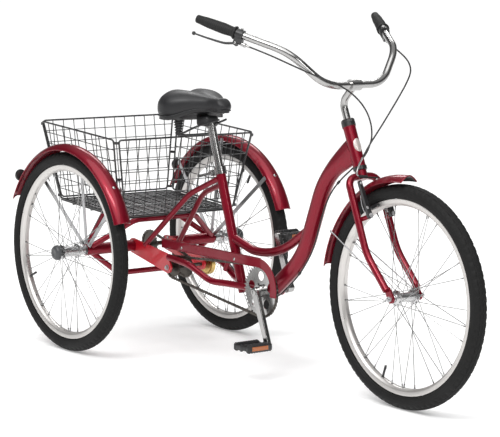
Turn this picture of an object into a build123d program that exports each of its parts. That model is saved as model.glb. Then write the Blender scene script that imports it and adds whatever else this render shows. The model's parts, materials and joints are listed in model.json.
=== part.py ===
"""Adult tricycle: one steered front wheel, two rear wheels and a wire cargo basket.

Millimetres. +X points forward, +Y to the rider's left, +Z up. The origin is on the
ground at the middle of the machine's outer box.
"""
import os
from math import cos, pi, radians, sin, tan

from build123d import *

# ---- driving dimensions -------------------------------------------------------------
X_SHIFT = -647.75           # the rear axle's place along X
WHEELBASE = 1295.5
HALF_TRACK = 325.7
TYRE_R = 330.0              # 26 inch wheels
TYRE_SECTION_R = 24.0
SPOKES_PER_SIDE = 18
AXLE_R = 7.5                # rear axle
RUNNING_GAP = 0.06          # radial play of a shaft in its bearing

HEAD_FOOT = (1087.0, 0, 684.0)      # foot of the head tube, before X_SHIFT
HEAD_LEAN = 23.77                   # degrees the steering axis leans back
HEAD_LENGTH = 133.0

SEAT_FOOT = (524.0, 0, 237.0)
SEAT_LEAN = 19.0
SEAT_TUBE_LENGTH = 410.0
POST_R = 13.6
SEAT_TUBE_R = 15.9

BB = (676.0, 0, 266.0)              # crank axis
BB_HALF = 34.0
BB_R = 20.0
BEARING_DEPTH = 10.0
SPINDLE_R = 8.0
CRANK_LENGTH = 170.0
CRANK_ANGLE = -67.5                 # right crank, degrees above +X
CHAIN_PITCH = 12.7
RING_TEETH = 40
JACK_TEETH = 18
AXLE_TEETH = 22
CHAIN_LINE = -48.0                  # plane of the long chain
JACK = (203.0, 0, 281.0)            # jackshaft axis
REAR = (0.0, 0, TYRE_R)             # rear axle

BAR_TIP = (742.0, -346.0, 1121.0)   # right half of the handlebar, tip to middle
BAR_KNEE = (1000.0, -206.0, 1030.0)
BAR_ELBOW = (1054.0, -110.0, 932.0)
BAR_R = 11.1
GRIP_LENGTH = 130.0

BASKET_MID = (-21.0, 0, 464.0)      # middle of the basket's floor
BASKET_TILT = 3.87                  # nose-down, degrees
BASKET_FLOOR = (384.0, 464.0)
BASKET_TOP = (460.0, 564.0)
BASKET_TOP_BACK = 18.0              # the rim's middle sits this far behind the floor's
BASKET_HEIGHT = 266.0
MESH = 42.0                         # pitch of the basket's wires
WIRE = 4.0

FENDER_R = 357.0
FENDER_W = 62.0
FENDER_SHEET = 1.2

os.makedirs("parts", exist_ok=True)


# ---- helpers ------------------------------------------------------------------------
def at(x, y, z):
    """A point given from the rear axle's foot, in the finished frame."""
    return Vector(x + X_SHIFT, y, z)


def mirrored(point):
    return Vector(point.X, -point.Y, point.Z)


def write(piece, name):
    piece.part.label = name
    export_step(piece.part, f"parts/{name}.step")


def plane_at(origin, towards, x_dir=None):
    return Plane(origin=origin, x_dir=x_dir, z_dir=towards)


def side_plane(centre):
    """Sketch plane whose x is +X and y is +Z, seen from the right; it extrudes to -Y."""
    return Plane(origin=centre, x_dir=(1, 0, 0), z_dir=(0, -1, 0))


def smooth_radii(points, most=400.0):
    """The largest bend at each corner that its two runs leave room for."""
    radii = []
    for before, corner, after in zip(points, points[1:], points[2:]):
        run = min((corner - before).length, (after - corner).length)
        half_turn = radians((corner - before).get_angle(after - corner)) / 2
        radii.append(min(most, 0.45 * run / tan(half_turn)))
    return radii


def pipe(points, radius, wall=0.0, bends=None, cutters=()):
    """A round tube along straight runs joined by tangent arcs."""
    with BuildPart() as tube:
        with BuildLine() as path:
            if len(points) == 2:
                Line(*points)
            else:
                FilletPolyline(*points, radius=bends or smooth_radii(points))
        with BuildSketch(plane_at(path.line @ 0, path.line % 0)):
            Circle(radius)
            if wall:
                Circle(radius - wall, mode=Mode.SUBTRACT)
        sweep()
        for cutter in cutters:
            add(cutter, mode=Mode.SUBTRACT)
    return tube


def rod(start, end, radius, bore=0.0):
    """A straight round bar, or a straight tube where it has a bore."""
    with BuildPart() as bar:
        with BuildSketch(plane_at(start, end - start)):
            Circle(radius)
            if bore:
                Circle(bore, mode=Mode.SUBTRACT)
        extrude(amount=(end - start).length)
    return bar.part


def across(centre, y_from, y_to, radius, bore=0.0):
    """A rod along Y at a centre's X and Z."""
    start = Vector(centre.X, y_from, centre.Z)
    end = Vector(centre.X, y_to, centre.Z)
    return rod(start, end, radius, bore)


def gather(name, *solids):
    """Write several separate solids as one node."""
    with BuildPart() as group:
        for solid in solids:
            add(solid)
    write(group, name)
    return group


def pitch_radius(teeth):
    return CHAIN_PITCH / (2 * sin(pi / teeth))


# ---- axes that the rest hangs on ----------------------------------------------------
front_hub = at(WHEELBASE, 0, TYRE_R)
rear_hub = at(*REAR)
crank_axis = at(*BB)
jack_axis = at(*JACK)
head_foot = at(*HEAD_FOOT)
steer_up = Vector(-sin(radians(HEAD_LEAN)), 0, cos(radians(HEAD_LEAN)))
steer_ahead = Vector(cos(radians(HEAD_LEAN)), 0, sin(radians(HEAD_LEAN)))
seat_foot = at(*SEAT_FOOT)
seat_up = Vector(-sin(radians(SEAT_LEAN)), 0, cos(radians(SEAT_LEAN)))


def on_head(along):
    return head_foot + steer_up * along


def on_seat(along):
    return seat_foot + seat_up * along


# ---- wheels -------------------------------------------------------------------------
TYRE_MID = TYRE_R - TYRE_SECTION_R
RIM_OUT = 288.0
RIM_IN = 267.0
RIM_HALF = 15.0
SPOKE_R = 1.1
FLANGE_HOLE_R = 19.0
SPOKE_SWEEP = 55.0          # degrees between a spoke's two ends
SPOKE_OFFSET = 4.3          # a spoke lies this far off its flange's middle

with BuildPart() as tyre:
    with BuildSketch():
        with Locations((TYRE_MID, 0)):
            Circle(TYRE_SECTION_R)
            Circle(TYRE_SECTION_R - 3.5, mode=Mode.SUBTRACT)
        with Locations((TYRE_MID - TYRE_SECTION_R, 0)):
            Rectangle(2 * (RIM_OUT + 0.3 - TYRE_MID + TYRE_SECTION_R), 80, mode=Mode.SUBTRACT)
    revolve(axis=Axis.Y)

with BuildPart() as rim:
    with BuildSketch():
        with BuildLine():
            Polyline((RIM_IN, -6), (RIM_IN, 6), (RIM_IN + 6, 13), (RIM_IN + 7, RIM_HALF),
                     (RIM_OUT, RIM_HALF), (RIM_OUT, 13), (RIM_IN + 9, 13), (RIM_IN + 9, -13),
                     (RIM_OUT, -13), (RIM_OUT, -RIM_HALF), (RIM_IN + 7, -RIM_HALF),
                     (RIM_IN + 6, -13), close=True)
        make_face()
        with BuildLine():
            Polyline((RIM_IN + 2, -5), (RIM_IN + 2, 5), (RIM_IN + 7, 11), (RIM_IN + 7, -11),
                     close=True)
        make_face(mode=Mode.SUBTRACT)
    revolve(axis=Axis.Y)


def spoke_set(flange_y):
    """Crossed spokes of a wheel at the origin, its flanges at plus and minus flange_y."""
    with BuildPart() as spokes:
        for side in (-1, 1):
            for k in range(SPOKES_PER_SIDE):
                lean = 1 if k % 2 else -1
                hub_angle = radians(k * 360 / SPOKES_PER_SIDE + side * 5)
                rim_angle = hub_angle + lean * radians(SPOKE_SWEEP)
                start = Vector(FLANGE_HOLE_R * cos(hub_angle),
                               side * flange_y + lean * SPOKE_OFFSET,
                               FLANGE_HOLE_R * sin(hub_angle))
                end = Vector((RIM_IN - 0.2) * cos(rim_angle), side * 3,
                             (RIM_IN - 0.2) * sin(rim_angle))
                add(rod(start, end, SPOKE_R))
    return spokes.part


def placed(solid, centre):
    """A copy of a solid made at the origin, moved to its centre."""
    with BuildPart() as copy:
        with Locations(centre):
            add(solid)
    return copy


def wheel(name, centre):
    write(placed(tyre.part, centre), f"{name}_tyre")
    write(placed(rim.part, centre), f"{name}_rim")


def hub_shell(centre, outline, bore):
    """A turned hub: outline lists (distance along +Y, radius) from one end to the other."""
    with BuildPart() as shell:
        with BuildSketch(Plane(origin=centre)):
            with BuildLine():
                Polyline(*[(r, y) for y, r in outline],
                         (bore, outline[-1][0]), (bore, outline[0][0]), close=True)
            make_face()
        revolve(axis=Axis(centre, (0, 1, 0)))
    return shell


FLANGE_R = 24.0
FLANGE_HALF = 1.5


def flanged(y_start, flange_y, y_end, barrel_r, end_r):
    """Outline of a hub with two spoke flanges."""
    low = -flange_y
    return [(y_start, end_r), (low - 8, end_r), (low - FLANGE_HALF, barrel_r),
            (low - FLANGE_HALF, FLANGE_R), (low + FLANGE_HALF, FLANGE_R),
            (low + FLANGE_HALF, barrel_r), (flange_y - FLANGE_HALF, barrel_r),
            (flange_y - FLANGE_HALF, FLANGE_R), (flange_y + FLANGE_HALF, FLANGE_R),
            (flange_y + FLANGE_HALF, barrel_r), (flange_y + 8, end_r), (y_end, end_r)]


FRONT_FLANGE = 34.0
REAR_FLANGE = 30.0
FRONT_AXLE_R = 5.0
right_hub = rear_hub + Vector(0, -HALF_TRACK, 0)
left_hub = rear_hub + Vector(0, HALF_TRACK, 0)
wheel("front", front_hub)
wheel("right", right_hub)
wheel("left", left_hub)

front_shell = hub_shell(front_hub, flanged(-48, FRONT_FLANGE, 48, 14, 11),
                        FRONT_AXLE_R + RUNNING_GAP)
gather("front_hub", front_shell.part, placed(spoke_set(FRONT_FLANGE), front_hub).part)

rear_spokes = spoke_set(REAR_FLANGE)
HUB_INNER = 57.0            # a rear hub's reach towards the frame
HUB_OUTER = 44.0
CAP_R = 25.0
CAP_DEPTH = 16.0
for side, centre, name in ((-1, right_hub, "right_hub"), (1, left_hub, "left_hub")):
    outline = flanged(-HUB_INNER, REAR_FLANGE, HUB_OUTER, 17, 15)
    if side < 0:
        outline = [(-y, r) for y, r in reversed(outline)]
    shell = hub_shell(centre, outline, AXLE_R + RUNNING_GAP)
    cap_face = centre + Vector(0, side * (HUB_OUTER + 0.1), 0)
    with BuildPart() as cap:
        with BuildSketch(plane_at(cap_face, (0, side, 0))):
            Circle(CAP_R)
        extrude(amount=CAP_DEPTH)
        fillet(cap.edges().group_by(Axis.Y)[-1 if side > 0 else 0], 9)
        with BuildSketch(plane_at(cap_face, (0, side, 0))):
            Circle(AXLE_R + 2)
        extrude(amount=4, mode=Mode.SUBTRACT)
    gather(name, shell.part, cap.part, placed(rear_spokes, centre).part)

FORK_INNER = 51.0
FORK_PLATE = 6.0
NUT_R = 9.0
with BuildPart() as front_axle:
    add(across(front_hub, -72, 72, FRONT_AXLE_R))
    for side in (-1, 1):
        face = front_hub + Vector(0, side * (FORK_INNER + FORK_PLATE + 0.1), 0)
        with BuildSketch(plane_at(face, (0, side, 0))):
            RegularPolygon(NUT_R, 6)
        extrude(amount=8)
write(front_axle, "front_axle")

# ---- main frame ---------------------------------------------------------------------
HEAD_R = 19.0
HEAD_BORE = 15.5
HEAD_START = 8.0            # the tube starts this far above its lower cup's foot
CUP_HEIGHT = 13.0
STEERER_R = 12.7
CUP_R = 21.0
DOWN_R = 25.0
head_solid = rod(on_head(HEAD_START), on_head(HEAD_LENGTH), HEAD_R)
seat_solid = rod(on_seat(0), on_seat(SEAT_TUBE_LENGTH), SEAT_TUBE_R)
shell_solid = across(crank_axis, -BB_HALF, BB_HALF, BB_R)

with BuildPart() as head_tube:
    add(rod(on_head(HEAD_START), on_head(HEAD_LENGTH), HEAD_R, HEAD_BORE))
write(head_tube, "head_tube")

gather("headset_cups",
       rod(on_head(-3), on_head(HEAD_START), CUP_R, STEERER_R + RUNNING_GAP),
       rod(on_head(HEAD_LENGTH), on_head(HEAD_LENGTH + CUP_HEIGHT), CUP_R, STEERER_R + RUNNING_GAP))

down_points = [at(1054, 0, 740), at(930, 0, 650), at(829, 0, 388), at(682, 0, 270)]
down_bends = (260, 300)
down_solid = pipe(down_points, DOWN_R, bends=down_bends).part
write(pipe(down_points, DOWN_R, 1.8, down_bends, (head_solid, shell_solid)), "down_tube")

top_points = [at(478, 0, 404), at(566, 0, 379), at(690, 0, 372), at(866, 0, 486)]
write(pipe(top_points, 14, 1.6, (160, 330), (seat_solid, down_solid)), "top_tube")

with BuildPart() as seat_tube:
    add(rod(on_seat(0), on_seat(SEAT_TUBE_LENGTH), SEAT_TUBE_R, POST_R + RUNNING_GAP))
write(seat_tube, "seat_tube")

bore = SPINDLE_R + RUNNING_GAP
seat_in = BB_HALF - BEARING_DEPTH
with BuildPart() as bottom_bracket_shell:
    with BuildSketch(Plane(origin=crank_axis)):
        with BuildLine():
            Polyline((bore, -BB_HALF), (BB_R, -BB_HALF), (BB_R, BB_HALF), (bore, BB_HALF),
                     (bore, seat_in), (BB_R - 4, seat_in), (BB_R - 4, -seat_in),
                     (bore, -seat_in), close=True)
        make_face()
    revolve(axis=Axis(crank_axis, (0, 1, 0)))
write(bottom_bracket_shell, "bottom_bracket_shell")

PLATE_Y = 66.0              # inner face of each drive plate
PLATE_T = 6.0
HOUSING_R = 19.0
HOUSING_END = 262.0


def drive_plate(side):
    """Flat plate that carries the rear axle and the jackshaft on one side."""
    inner = Vector(0, side * PLATE_Y, 0)
    with BuildPart() as plate:
        with BuildSketch(side_plane(at(0, 0, 0) + inner)):
            with Locations((REAR[0], REAR[2])):
                Circle(25)
            with Locations((JACK[0], JACK[2])):
                Circle(19)
            with Locations((JACK[0] - 12, JACK[2] + 34)):
                Circle(13)
            make_hull()
            with Locations((REAR[0], REAR[2])):
                Circle(AXLE_R + RUNNING_GAP, mode=Mode.SUBTRACT)
            with Locations((JACK[0], JACK[2])):
                Circle(6 + RUNNING_GAP, mode=Mode.SUBTRACT)
        extrude(amount=-side * PLATE_T)
    return plate.part


plates = {side: drive_plate(side) for side in (-1, 1)}
gather("drive_plates", *plates.values())

housings = []
housing_solids = []
for side in (-1, 1):
    y_in = side * (PLATE_Y + PLATE_T + 0.05)
    y_out = side * HOUSING_END
    housings.append(across(rear_hub, y_in, y_out, HOUSING_R, HOUSING_R - 2.5))
    housing_solids.append(across(rear_hub, y_in, y_out, HOUSING_R))
gather("axle_housings", *housings)
gather("axle_bearings", *[
    across(rear_hub, side * y, side * (y + 12), HOUSING_R - 2.55, AXLE_R + RUNNING_GAP)
    for side in (-1, 1) for y in (PLATE_Y + PLATE_T + 1, HOUSING_END - 12)])

stays = []
for side in (-1, 1):
    points = [at(666, side * 27, 262), at(505, side * 30, 263), at(416, side * 52, 262),
              at(318, side * 66, 305), at(206, side * 69, 316)]
    stays.append(pipe(points, 11, 1.5, (400, 120, 160),
                      (shell_solid, seat_solid, plates[side])).part)
arch_points = [at(372, 40, 286), at(404, 34, 326), at(482, 10, 326)]
stay_solid = pipe([at(505, 30, 263), at(416, 52, 262), at(318, 66, 305)], 11.2,
                  bends=(120,)).part
stays.append(pipe(arch_points, 8, 1.2, (30,), (stay_solid, seat_solid)).part)
gather("chain_stays", *stays)

seat_stays = []
for side in (-1, 1):
    points = [at(400, side * 10, 592 if side < 0 else 574), at(262, side * 28, 528),
              at(70, side * 69, 340)]
    seat_stays.append(pipe(points, 9, 1.3, (190,), (seat_solid, plates[side])).part)
gather("seat_stays", *seat_stays)

HOOP_R = 9.5
hoops = []
for along, top_z in ((1, 431), (-1, 443)):
    points = [at(along * 13, -246, 343), at(along * 88, -122, top_z),
              at(along * 88, 122, top_z), at(along * 13, 246, 343)]
    hoops.append(pipe(points, HOOP_R, 1.5, (55, 55), housing_solids).part)
brace_points = [at(0, -240, 322), at(-8, -125, 240), at(-8, 125, 240), at(0, 240, 322)]
hoops.append(pipe(brace_points, HOOP_R, 1.5, (60, 60), housing_solids).part)
gather("rear_hoops", *hoops)

COLLAR_TOP = SEAT_TUBE_LENGTH + 2
CAM_PIN_R = 3.0
seat_ahead = Vector(cos(radians(SEAT_LEAN)), 0, sin(radians(SEAT_LEAN)))
ear_mid = on_seat(COLLAR_TOP - 12) - seat_ahead * (SEAT_TUBE_R + 10)
cam_mid = ear_mid + Vector(0, -16, 0)
with BuildPart() as seat_collar:
    with BuildSketch(plane_at(ear_mid - seat_up * 8, seat_up, seat_ahead)):
        Rectangle(16, 13)
    extrude(amount=16)
    add(rod(on_seat(COLLAR_TOP - 24), on_seat(COLLAR_TOP), SEAT_TUBE_R + 4.5))
    for height in (-9.5, 7):
        with BuildSketch(plane_at(ear_mid + seat_up * height, seat_up, seat_ahead)):
            Circle(5)
            with Locations(((cam_mid - ear_mid).dot(seat_ahead), cam_mid.Y)):
                Circle(5)
            make_hull()
        extrude(amount=2.5)
    add(rod(cam_mid - seat_up * 9, cam_mid + seat_up * 9, CAM_PIN_R))
    add(rod(on_seat(COLLAR_TOP - 30), on_seat(COLLAR_TOP + 1), SEAT_TUBE_R + 0.1),
        mode=Mode.SUBTRACT)
write(seat_collar, "seat_collar")

lever_way = (Vector(0, -0.6, 0) - seat_ahead * 0.8).normalized()
with BuildPart() as seat_clamp_lever:
    add(rod(cam_mid - seat_up * 6.7, cam_mid + seat_up * 6.7, 6.5))
    with BuildSketch(plane_at(cam_mid - seat_up * 4, seat_up, lever_way)):
        with Locations((24, 0)):
            SlotOverall(52, 7)
    extrude(amount=8)
    add(rod(cam_mid - seat_up * 10, cam_mid + seat_up * 10, CAM_PIN_R + RUNNING_GAP),
        mode=Mode.SUBTRACT)
write(seat_clamp_lever, "seat_clamp_lever")

# ---- chain guard --------------------------------------------------------------------
GUARD_Y = -56.0
GUARD_REAR = 150.0
GUARD_END_Z = 256.0
GUARD_STEEL = 1.6
GUARD_HEIGHT = 29.0
GUARD_Z = 355.5
GUARD_KNEE = (672.0, 279.0)
GUARD_BEND = GUARD_Z - GUARD_KNEE[1]
with BuildPart() as chain_guard:
    with BuildSketch(side_plane(at(0, GUARD_Y, 0))):
        with BuildLine():
            back = Line((GUARD_REAR, GUARD_Z), (GUARD_KNEE[0], GUARD_Z))
            bend = CenterArc(GUARD_KNEE, GUARD_BEND, 90, -90)
            Line(bend @ 1, (GUARD_KNEE[0] + GUARD_BEND, GUARD_END_Z))
        trace(line_width=GUARD_HEIGHT)
    extrude(amount=GUARD_STEEL)
    lip_z = GUARD_Z + GUARD_HEIGHT / 2 - GUARD_STEEL / 2
    with BuildSketch(side_plane(at(0, GUARD_Y, 0))):
        with Locations(((GUARD_REAR + GUARD_KNEE[0]) / 2, lip_z)):
            Rectangle(GUARD_KNEE[0] - GUARD_REAR, GUARD_STEEL)
    extrude(amount=-10)
write(chain_guard, "chain_guard")

# ---- chains and sprockets -----------------------------------------------------------
PLATE_GAP = 2.6             # from the chain's middle plane to its side plates
CHAIN_SHEET = 1.0
CHAIN_HALF = 4.25
SPROCKET_T = 2.2
TOOTH_R = 3.4               # how far a tooth stands past the pitch circle


def chain_loop(a, a_teeth, b, b_teeth, y):
    """Two side-plate bands of a roller chain around two sprockets."""
    bands = []
    for offset in (-PLATE_GAP - CHAIN_SHEET, PLATE_GAP):
        with BuildPart() as band:
            with BuildSketch(side_plane(Vector(0, y + offset + CHAIN_SHEET, 0))):
                for grow, mode in ((CHAIN_HALF, Mode.ADD), (-CHAIN_HALF, Mode.SUBTRACT)):
                    with BuildSketch(mode=Mode.PRIVATE) as hull:
                        with Locations((a.X, a.Z)):
                            Circle(pitch_radius(a_teeth) + grow)
                        with Locations((b.X, b.Z)):
                            Circle(pitch_radius(b_teeth) + grow)
                        make_hull()
                    add(hull.sketch_local, mode=mode)
            extrude(amount=CHAIN_SHEET)
        bands.append(band.part)
    return bands


def sprocket(centre, teeth, y, bore, holes=(0, 0, 0)):
    """Toothed disc; holes gives the count, radius and circle of its round cut-outs."""
    pitch = pitch_radius(teeth)
    count, hole_r, hole_circle = holes
    with BuildPart() as disc:
        with BuildSketch(side_plane(Vector(centre.X, y + SPROCKET_T / 2, centre.Z))):
            Circle(pitch - 3.9)
            with PolarLocations(pitch, teeth):
                Trapezoid(6.6, 9.4, 74, rotation=-90)
            Circle(pitch + TOOTH_R, mode=Mode.INTERSECT)
            Circle(bore, mode=Mode.SUBTRACT)
            if count:
                with PolarLocations(hole_circle, count, start_angle=18):
                    Circle(hole_r, mode=Mode.SUBTRACT)
        extrude(amount=SPROCKET_T)
    return disc.part


gather("chains",
       *chain_loop(crank_axis, RING_TEETH, jack_axis, JACK_TEETH, CHAIN_LINE),
       *chain_loop(jack_axis, JACK_TEETH, rear_hub, AXLE_TEETH, 0))

JACK_R = 6.0
DRUM_R = 32.0
gather("jackshaft",
       across(jack_axis, -74, 104, JACK_R),
       sprocket(jack_axis, JACK_TEETH, CHAIN_LINE, JACK_R + 0.05),
       sprocket(jack_axis, JACK_TEETH, 0, JACK_R + 0.05))
gather("brake_drum", across(jack_axis, 82, 101, DRUM_R, JACK_R + 0.05))
with BuildPart() as band_brake:
    with BuildSketch(side_plane(Vector(jack_axis.X, 99, jack_axis.Z))):
        Circle(DRUM_R + 4.5)
        with Locations((-DRUM_R - 2, 24)):
            Rectangle(24, 56)
        Circle(DRUM_R + 1.5, mode=Mode.SUBTRACT)
    extrude(amount=14)
write(band_brake, "band_brake")

gather("drive_axle",
       across(rear_hub, -HALF_TRACK - HUB_OUTER - 2, HALF_TRACK + HUB_OUTER + 2, AXLE_R),
       sprocket(rear_hub, AXLE_TEETH, 0, AXLE_R + 0.05))

# ---- cranks and pedals --------------------------------------------------------------
CRANK_IN = 63.0
CRANK_T = 14.0
CRANK_EYES = (14.0, 10.0)   # radius at the spindle and at the pedal
PEDAL_AXLE_R = 6.0
PEDAL_GAP = 3.0
PEDAL_SIZE = (78.0, 96.0, 26.0)
crank_way = Vector(cos(radians(CRANK_ANGLE)), 0, sin(radians(CRANK_ANGLE)))


def crank_arm(side):
    """Tapered arm with its pedal axle; the right one also carries the spindle."""
    eye = crank_axis - crank_way * (side * CRANK_LENGTH)
    with BuildPart() as arm:
        with BuildSketch(side_plane(Vector(0, side * CRANK_IN, 0))):
            with Locations((crank_axis.X, crank_axis.Z)):
                Circle(CRANK_EYES[0])
            with Locations((eye.X, eye.Z)):
                Circle(CRANK_EYES[1])
            make_hull()
        extrude(amount=-side * CRANK_T)
        fillet(arm.faces().sort_by(Axis.Y)[-1 if side > 0 else 0].edges(), 3)
        boss_in = -CHAIN_LINE + SPROCKET_T / 2 + 0.1 if side < 0 else 52
        add(across(crank_axis, side * boss_in, side * CRANK_IN, 20 if side < 0 else 15))
        outer = CRANK_IN + CRANK_T
        add(across(eye, side * outer, side * (outer + PEDAL_GAP + PEDAL_SIZE[1] - 8),
                   PEDAL_AXLE_R))
        if side < 0:
            add(across(crank_axis, -boss_in, 72, SPINDLE_R))
        else:
            add(across(crank_axis, 50, 72.1, SPINDLE_R + 0.05), mode=Mode.SUBTRACT)
    return arm, eye


def pedal(eye, side):
    inner = side * (CRANK_IN + CRANK_T + PEDAL_GAP)
    with BuildPart() as body:
        with Locations(Vector(eye.X, inner + side * PEDAL_SIZE[1] / 2, eye.Z)):
            Box(*PEDAL_SIZE)
        chamfer(body.edges().filter_by(Axis.Y), 6)
        fillet(body.edges().filter_by(Axis.X), 3)
        add(across(eye, inner - side, inner + side * (PEDAL_SIZE[1] - 6),
                   PEDAL_AXLE_R + RUNNING_GAP), mode=Mode.SUBTRACT)
    return body


for side, name in ((-1, "right"), (1, "left")):
    arm, eye = crank_arm(side)
    write(arm, f"{name}_crank")
    write(pedal(eye, side), f"{name}_pedal")

gather("chainring", sprocket(crank_axis, RING_TEETH, CHAIN_LINE, SPINDLE_R + 0.1, (5, 15, 48)))

# ---- steering -----------------------------------------------------------------------
BRAKE_PIVOT = at(1183, 0, 559)
BRAKE_Y = 43.0
BRAKE_PIN_R = 4.0
brake_feet = {side: BRAKE_PIVOT + Vector(0, side * BRAKE_Y, 0) for side in (-1, 1)}

CROWN_AT = -19.0
LEG_R = 11.0
fork_tip = at(1281, 0, 353)
crown = on_head(CROWN_AT)
with BuildPart() as fork:
    add(rod(on_head(-5), on_head(HEAD_LENGTH + 23), STEERER_R))
    add(rod(on_head(HEAD_LENGTH + 13.5), on_head(HEAD_LENGTH + 23), 18))
    add(rod(on_head(-32), on_head(-4), 17))
    for side in (-1, 1):
        leg = [crown, crown + Vector(5, side * 58, -6), at(1190, side * 60, 450),
               fork_tip + Vector(0, side * 60, 0)]
        add(pipe(leg, LEG_R, bends=(30, 170)).part)
        plate_face = Vector(0, side * FORK_INNER, 0)
        with BuildSketch(side_plane(plate_face)):
            with Locations((fork_tip.X, fork_tip.Z)):
                Circle(LEG_R)
            with Locations((front_hub.X, front_hub.Z)):
                Circle(13)
            make_hull()
            with Locations((front_hub.X, front_hub.Z)):
                Circle(FRONT_AXLE_R + 0.05, mode=Mode.SUBTRACT)
        extrude(amount=-side * FORK_PLATE)
        foot = brake_feet[side]
        add(rod(foot - steer_ahead * 34 + Vector(0, side * 6, 0), foot - steer_ahead * 7.5, 7))
        add(rod(foot - steer_ahead * 30, foot + steer_ahead * 7, BRAKE_PIN_R))
    add(rod(on_head(40), on_head(HEAD_LENGTH + 24), BAR_R + 0.1), mode=Mode.SUBTRACT)
write(fork, "fork")

bar_tip = at(*BAR_TIP)
bar_knee = at(*BAR_KNEE)
bar_elbow = at(*BAR_ELBOW)
bar_mid = Vector(bar_elbow.X, 0, bar_elbow.Z)
with BuildPart() as stem:
    add(pipe([on_head(60), on_head(212), bar_mid], BAR_R, bends=(34,)).part)
    add(across(bar_mid, -19, 19, 17))
    add(across(bar_mid, -20, 20, BAR_R + 0.05), mode=Mode.SUBTRACT)
write(stem, "stem")

bar_points = [bar_tip, bar_knee, bar_elbow,
              mirrored(bar_elbow), mirrored(bar_knee), mirrored(bar_tip)]
write(pipe(bar_points, BAR_R, 2.0, (150, 110, 110, 150)), "handlebar")

GRIP_R = 16.5
bar_in = (bar_knee - bar_tip).normalized()
lever_out = Vector(0.45, 0, -0.89)
lever_out = (lever_out - bar_in * lever_out.dot(bar_in)).normalized()
pivot_way = bar_in.cross(lever_out)


def right_side(along, out=0.0, over=0.0):
    """Point on the right of the bar: along it from the tip, out to the lever, and over."""
    return bar_tip + bar_in * along + lever_out * out + pivot_way * over


def grip():
    with BuildPart() as sleeve:
        add(rod(right_side(-4), right_side(GRIP_LENGTH), GRIP_R))
        add(rod(right_side(GRIP_LENGTH - 5), right_side(GRIP_LENGTH), 20))
        add(rod(right_side(-0.05), right_side(GRIP_LENGTH + 1), BAR_R + 0.05),
            mode=Mode.SUBTRACT)
    return sleeve.part


LEVER_AT = 141.0
PIVOT_OUT = 29.0
PIN_R = 2.5
BLADE_LENGTH = 136.0


def lever_mount():
    """Bar clamp with two ears that hold the lever's pin, and the cable's adjuster."""
    with BuildPart() as mount:
        add(rod(right_side(LEVER_AT - 8), right_side(LEVER_AT + 14), 15.5))
        for over in (-8.5, 4.5):
            with BuildSketch(plane_at(right_side(LEVER_AT, 0, over), pivot_way, lever_out)):
                with Locations((0, 0)):
                    Circle(9)
                with Locations((PIVOT_OUT, 0)):
                    Circle(7)
                make_hull()
            extrude(amount=4)
        add(rod(right_side(LEVER_AT + 10, PIVOT_OUT - 4), right_side(LEVER_AT + 34, PIVOT_OUT - 4),
                4.5))
        with BuildSketch(plane_at(right_side(LEVER_AT + 6, 12), bar_in, lever_out)):
            with Locations((7, 0)):
                Rectangle(14, 17)
        extrude(amount=12)
        add(rod(right_side(LEVER_AT, PIVOT_OUT, -8.5), right_side(LEVER_AT, PIVOT_OUT, 8.5),
                PIN_R))
        add(rod(right_side(LEVER_AT - 30), right_side(LEVER_AT + 30), BAR_R + 0.05),
            mode=Mode.SUBTRACT)
    return mount.part


def lever_blade():
    tip = LEVER_AT - BLADE_LENGTH
    with BuildPart() as blade:
        add(rod(right_side(LEVER_AT, PIVOT_OUT, -4), right_side(LEVER_AT, PIVOT_OUT, 4), 6))
        add(pipe([right_side(LEVER_AT, PIVOT_OUT), right_side(LEVER_AT - 32, PIVOT_OUT + 11),
                  right_side(tip, PIVOT_OUT + 15)], 4, bends=(60,)).part)
        add(rod(right_side(tip - 6, PIVOT_OUT + 15), right_side(tip + 5, PIVOT_OUT + 15), 6))
        add(rod(right_side(LEVER_AT, PIVOT_OUT, -9), right_side(LEVER_AT, PIVOT_OUT, 9),
                PIN_R + RUNNING_GAP), mode=Mode.SUBTRACT)
    return blade.part


def other_side(solid):
    return mirror(solid, about=Plane.XZ, mode=Mode.PRIVATE)


gather("grips", grip(), other_side(grip()))
gather("brake_lever_mounts", lever_mount(), other_side(lever_mount()))
gather("rear_brake_lever", lever_blade())
gather("front_brake_lever", other_side(lever_blade()))

# ---- rim brake ----------------------------------------------------------------------
ARM_LENGTH = 104.0
PAD_UP = 25.0
PAD_REACH = 16.0            # from an arm's middle to the back of its pad
for side, name in ((-1, "right_brake_arm"), (1, "left_brake_arm")):
    foot = brake_feet[side]
    pad_back = foot + steer_up * PAD_UP - Vector(0, side * PAD_REACH, 0)
    with BuildPart() as arm:
        with BuildSketch(Plane(origin=foot - steer_ahead * 5, x_dir=(0, 1, 0),
                               z_dir=steer_ahead)):
            Circle(8)
            with Locations((side * 5, ARM_LENGTH)):
                Circle(5)
            make_hull()
        extrude(amount=10)
        add(rod(pad_back, pad_back + Vector(0, side * PAD_REACH, 0), 3.5))
        with BuildSketch(Plane(origin=pad_back, x_dir=steer_ahead, z_dir=(0, -side, 0))):
            SlotOverall(52, 10)
        extrude(amount=9.5)
        add(rod(foot - steer_ahead * 20, foot + steer_ahead * 20, BRAKE_PIN_R + RUNNING_GAP),
            mode=Mode.SUBTRACT)
    write(arm, name)

# ---- fenders ------------------------------------------------------------------------


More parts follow.
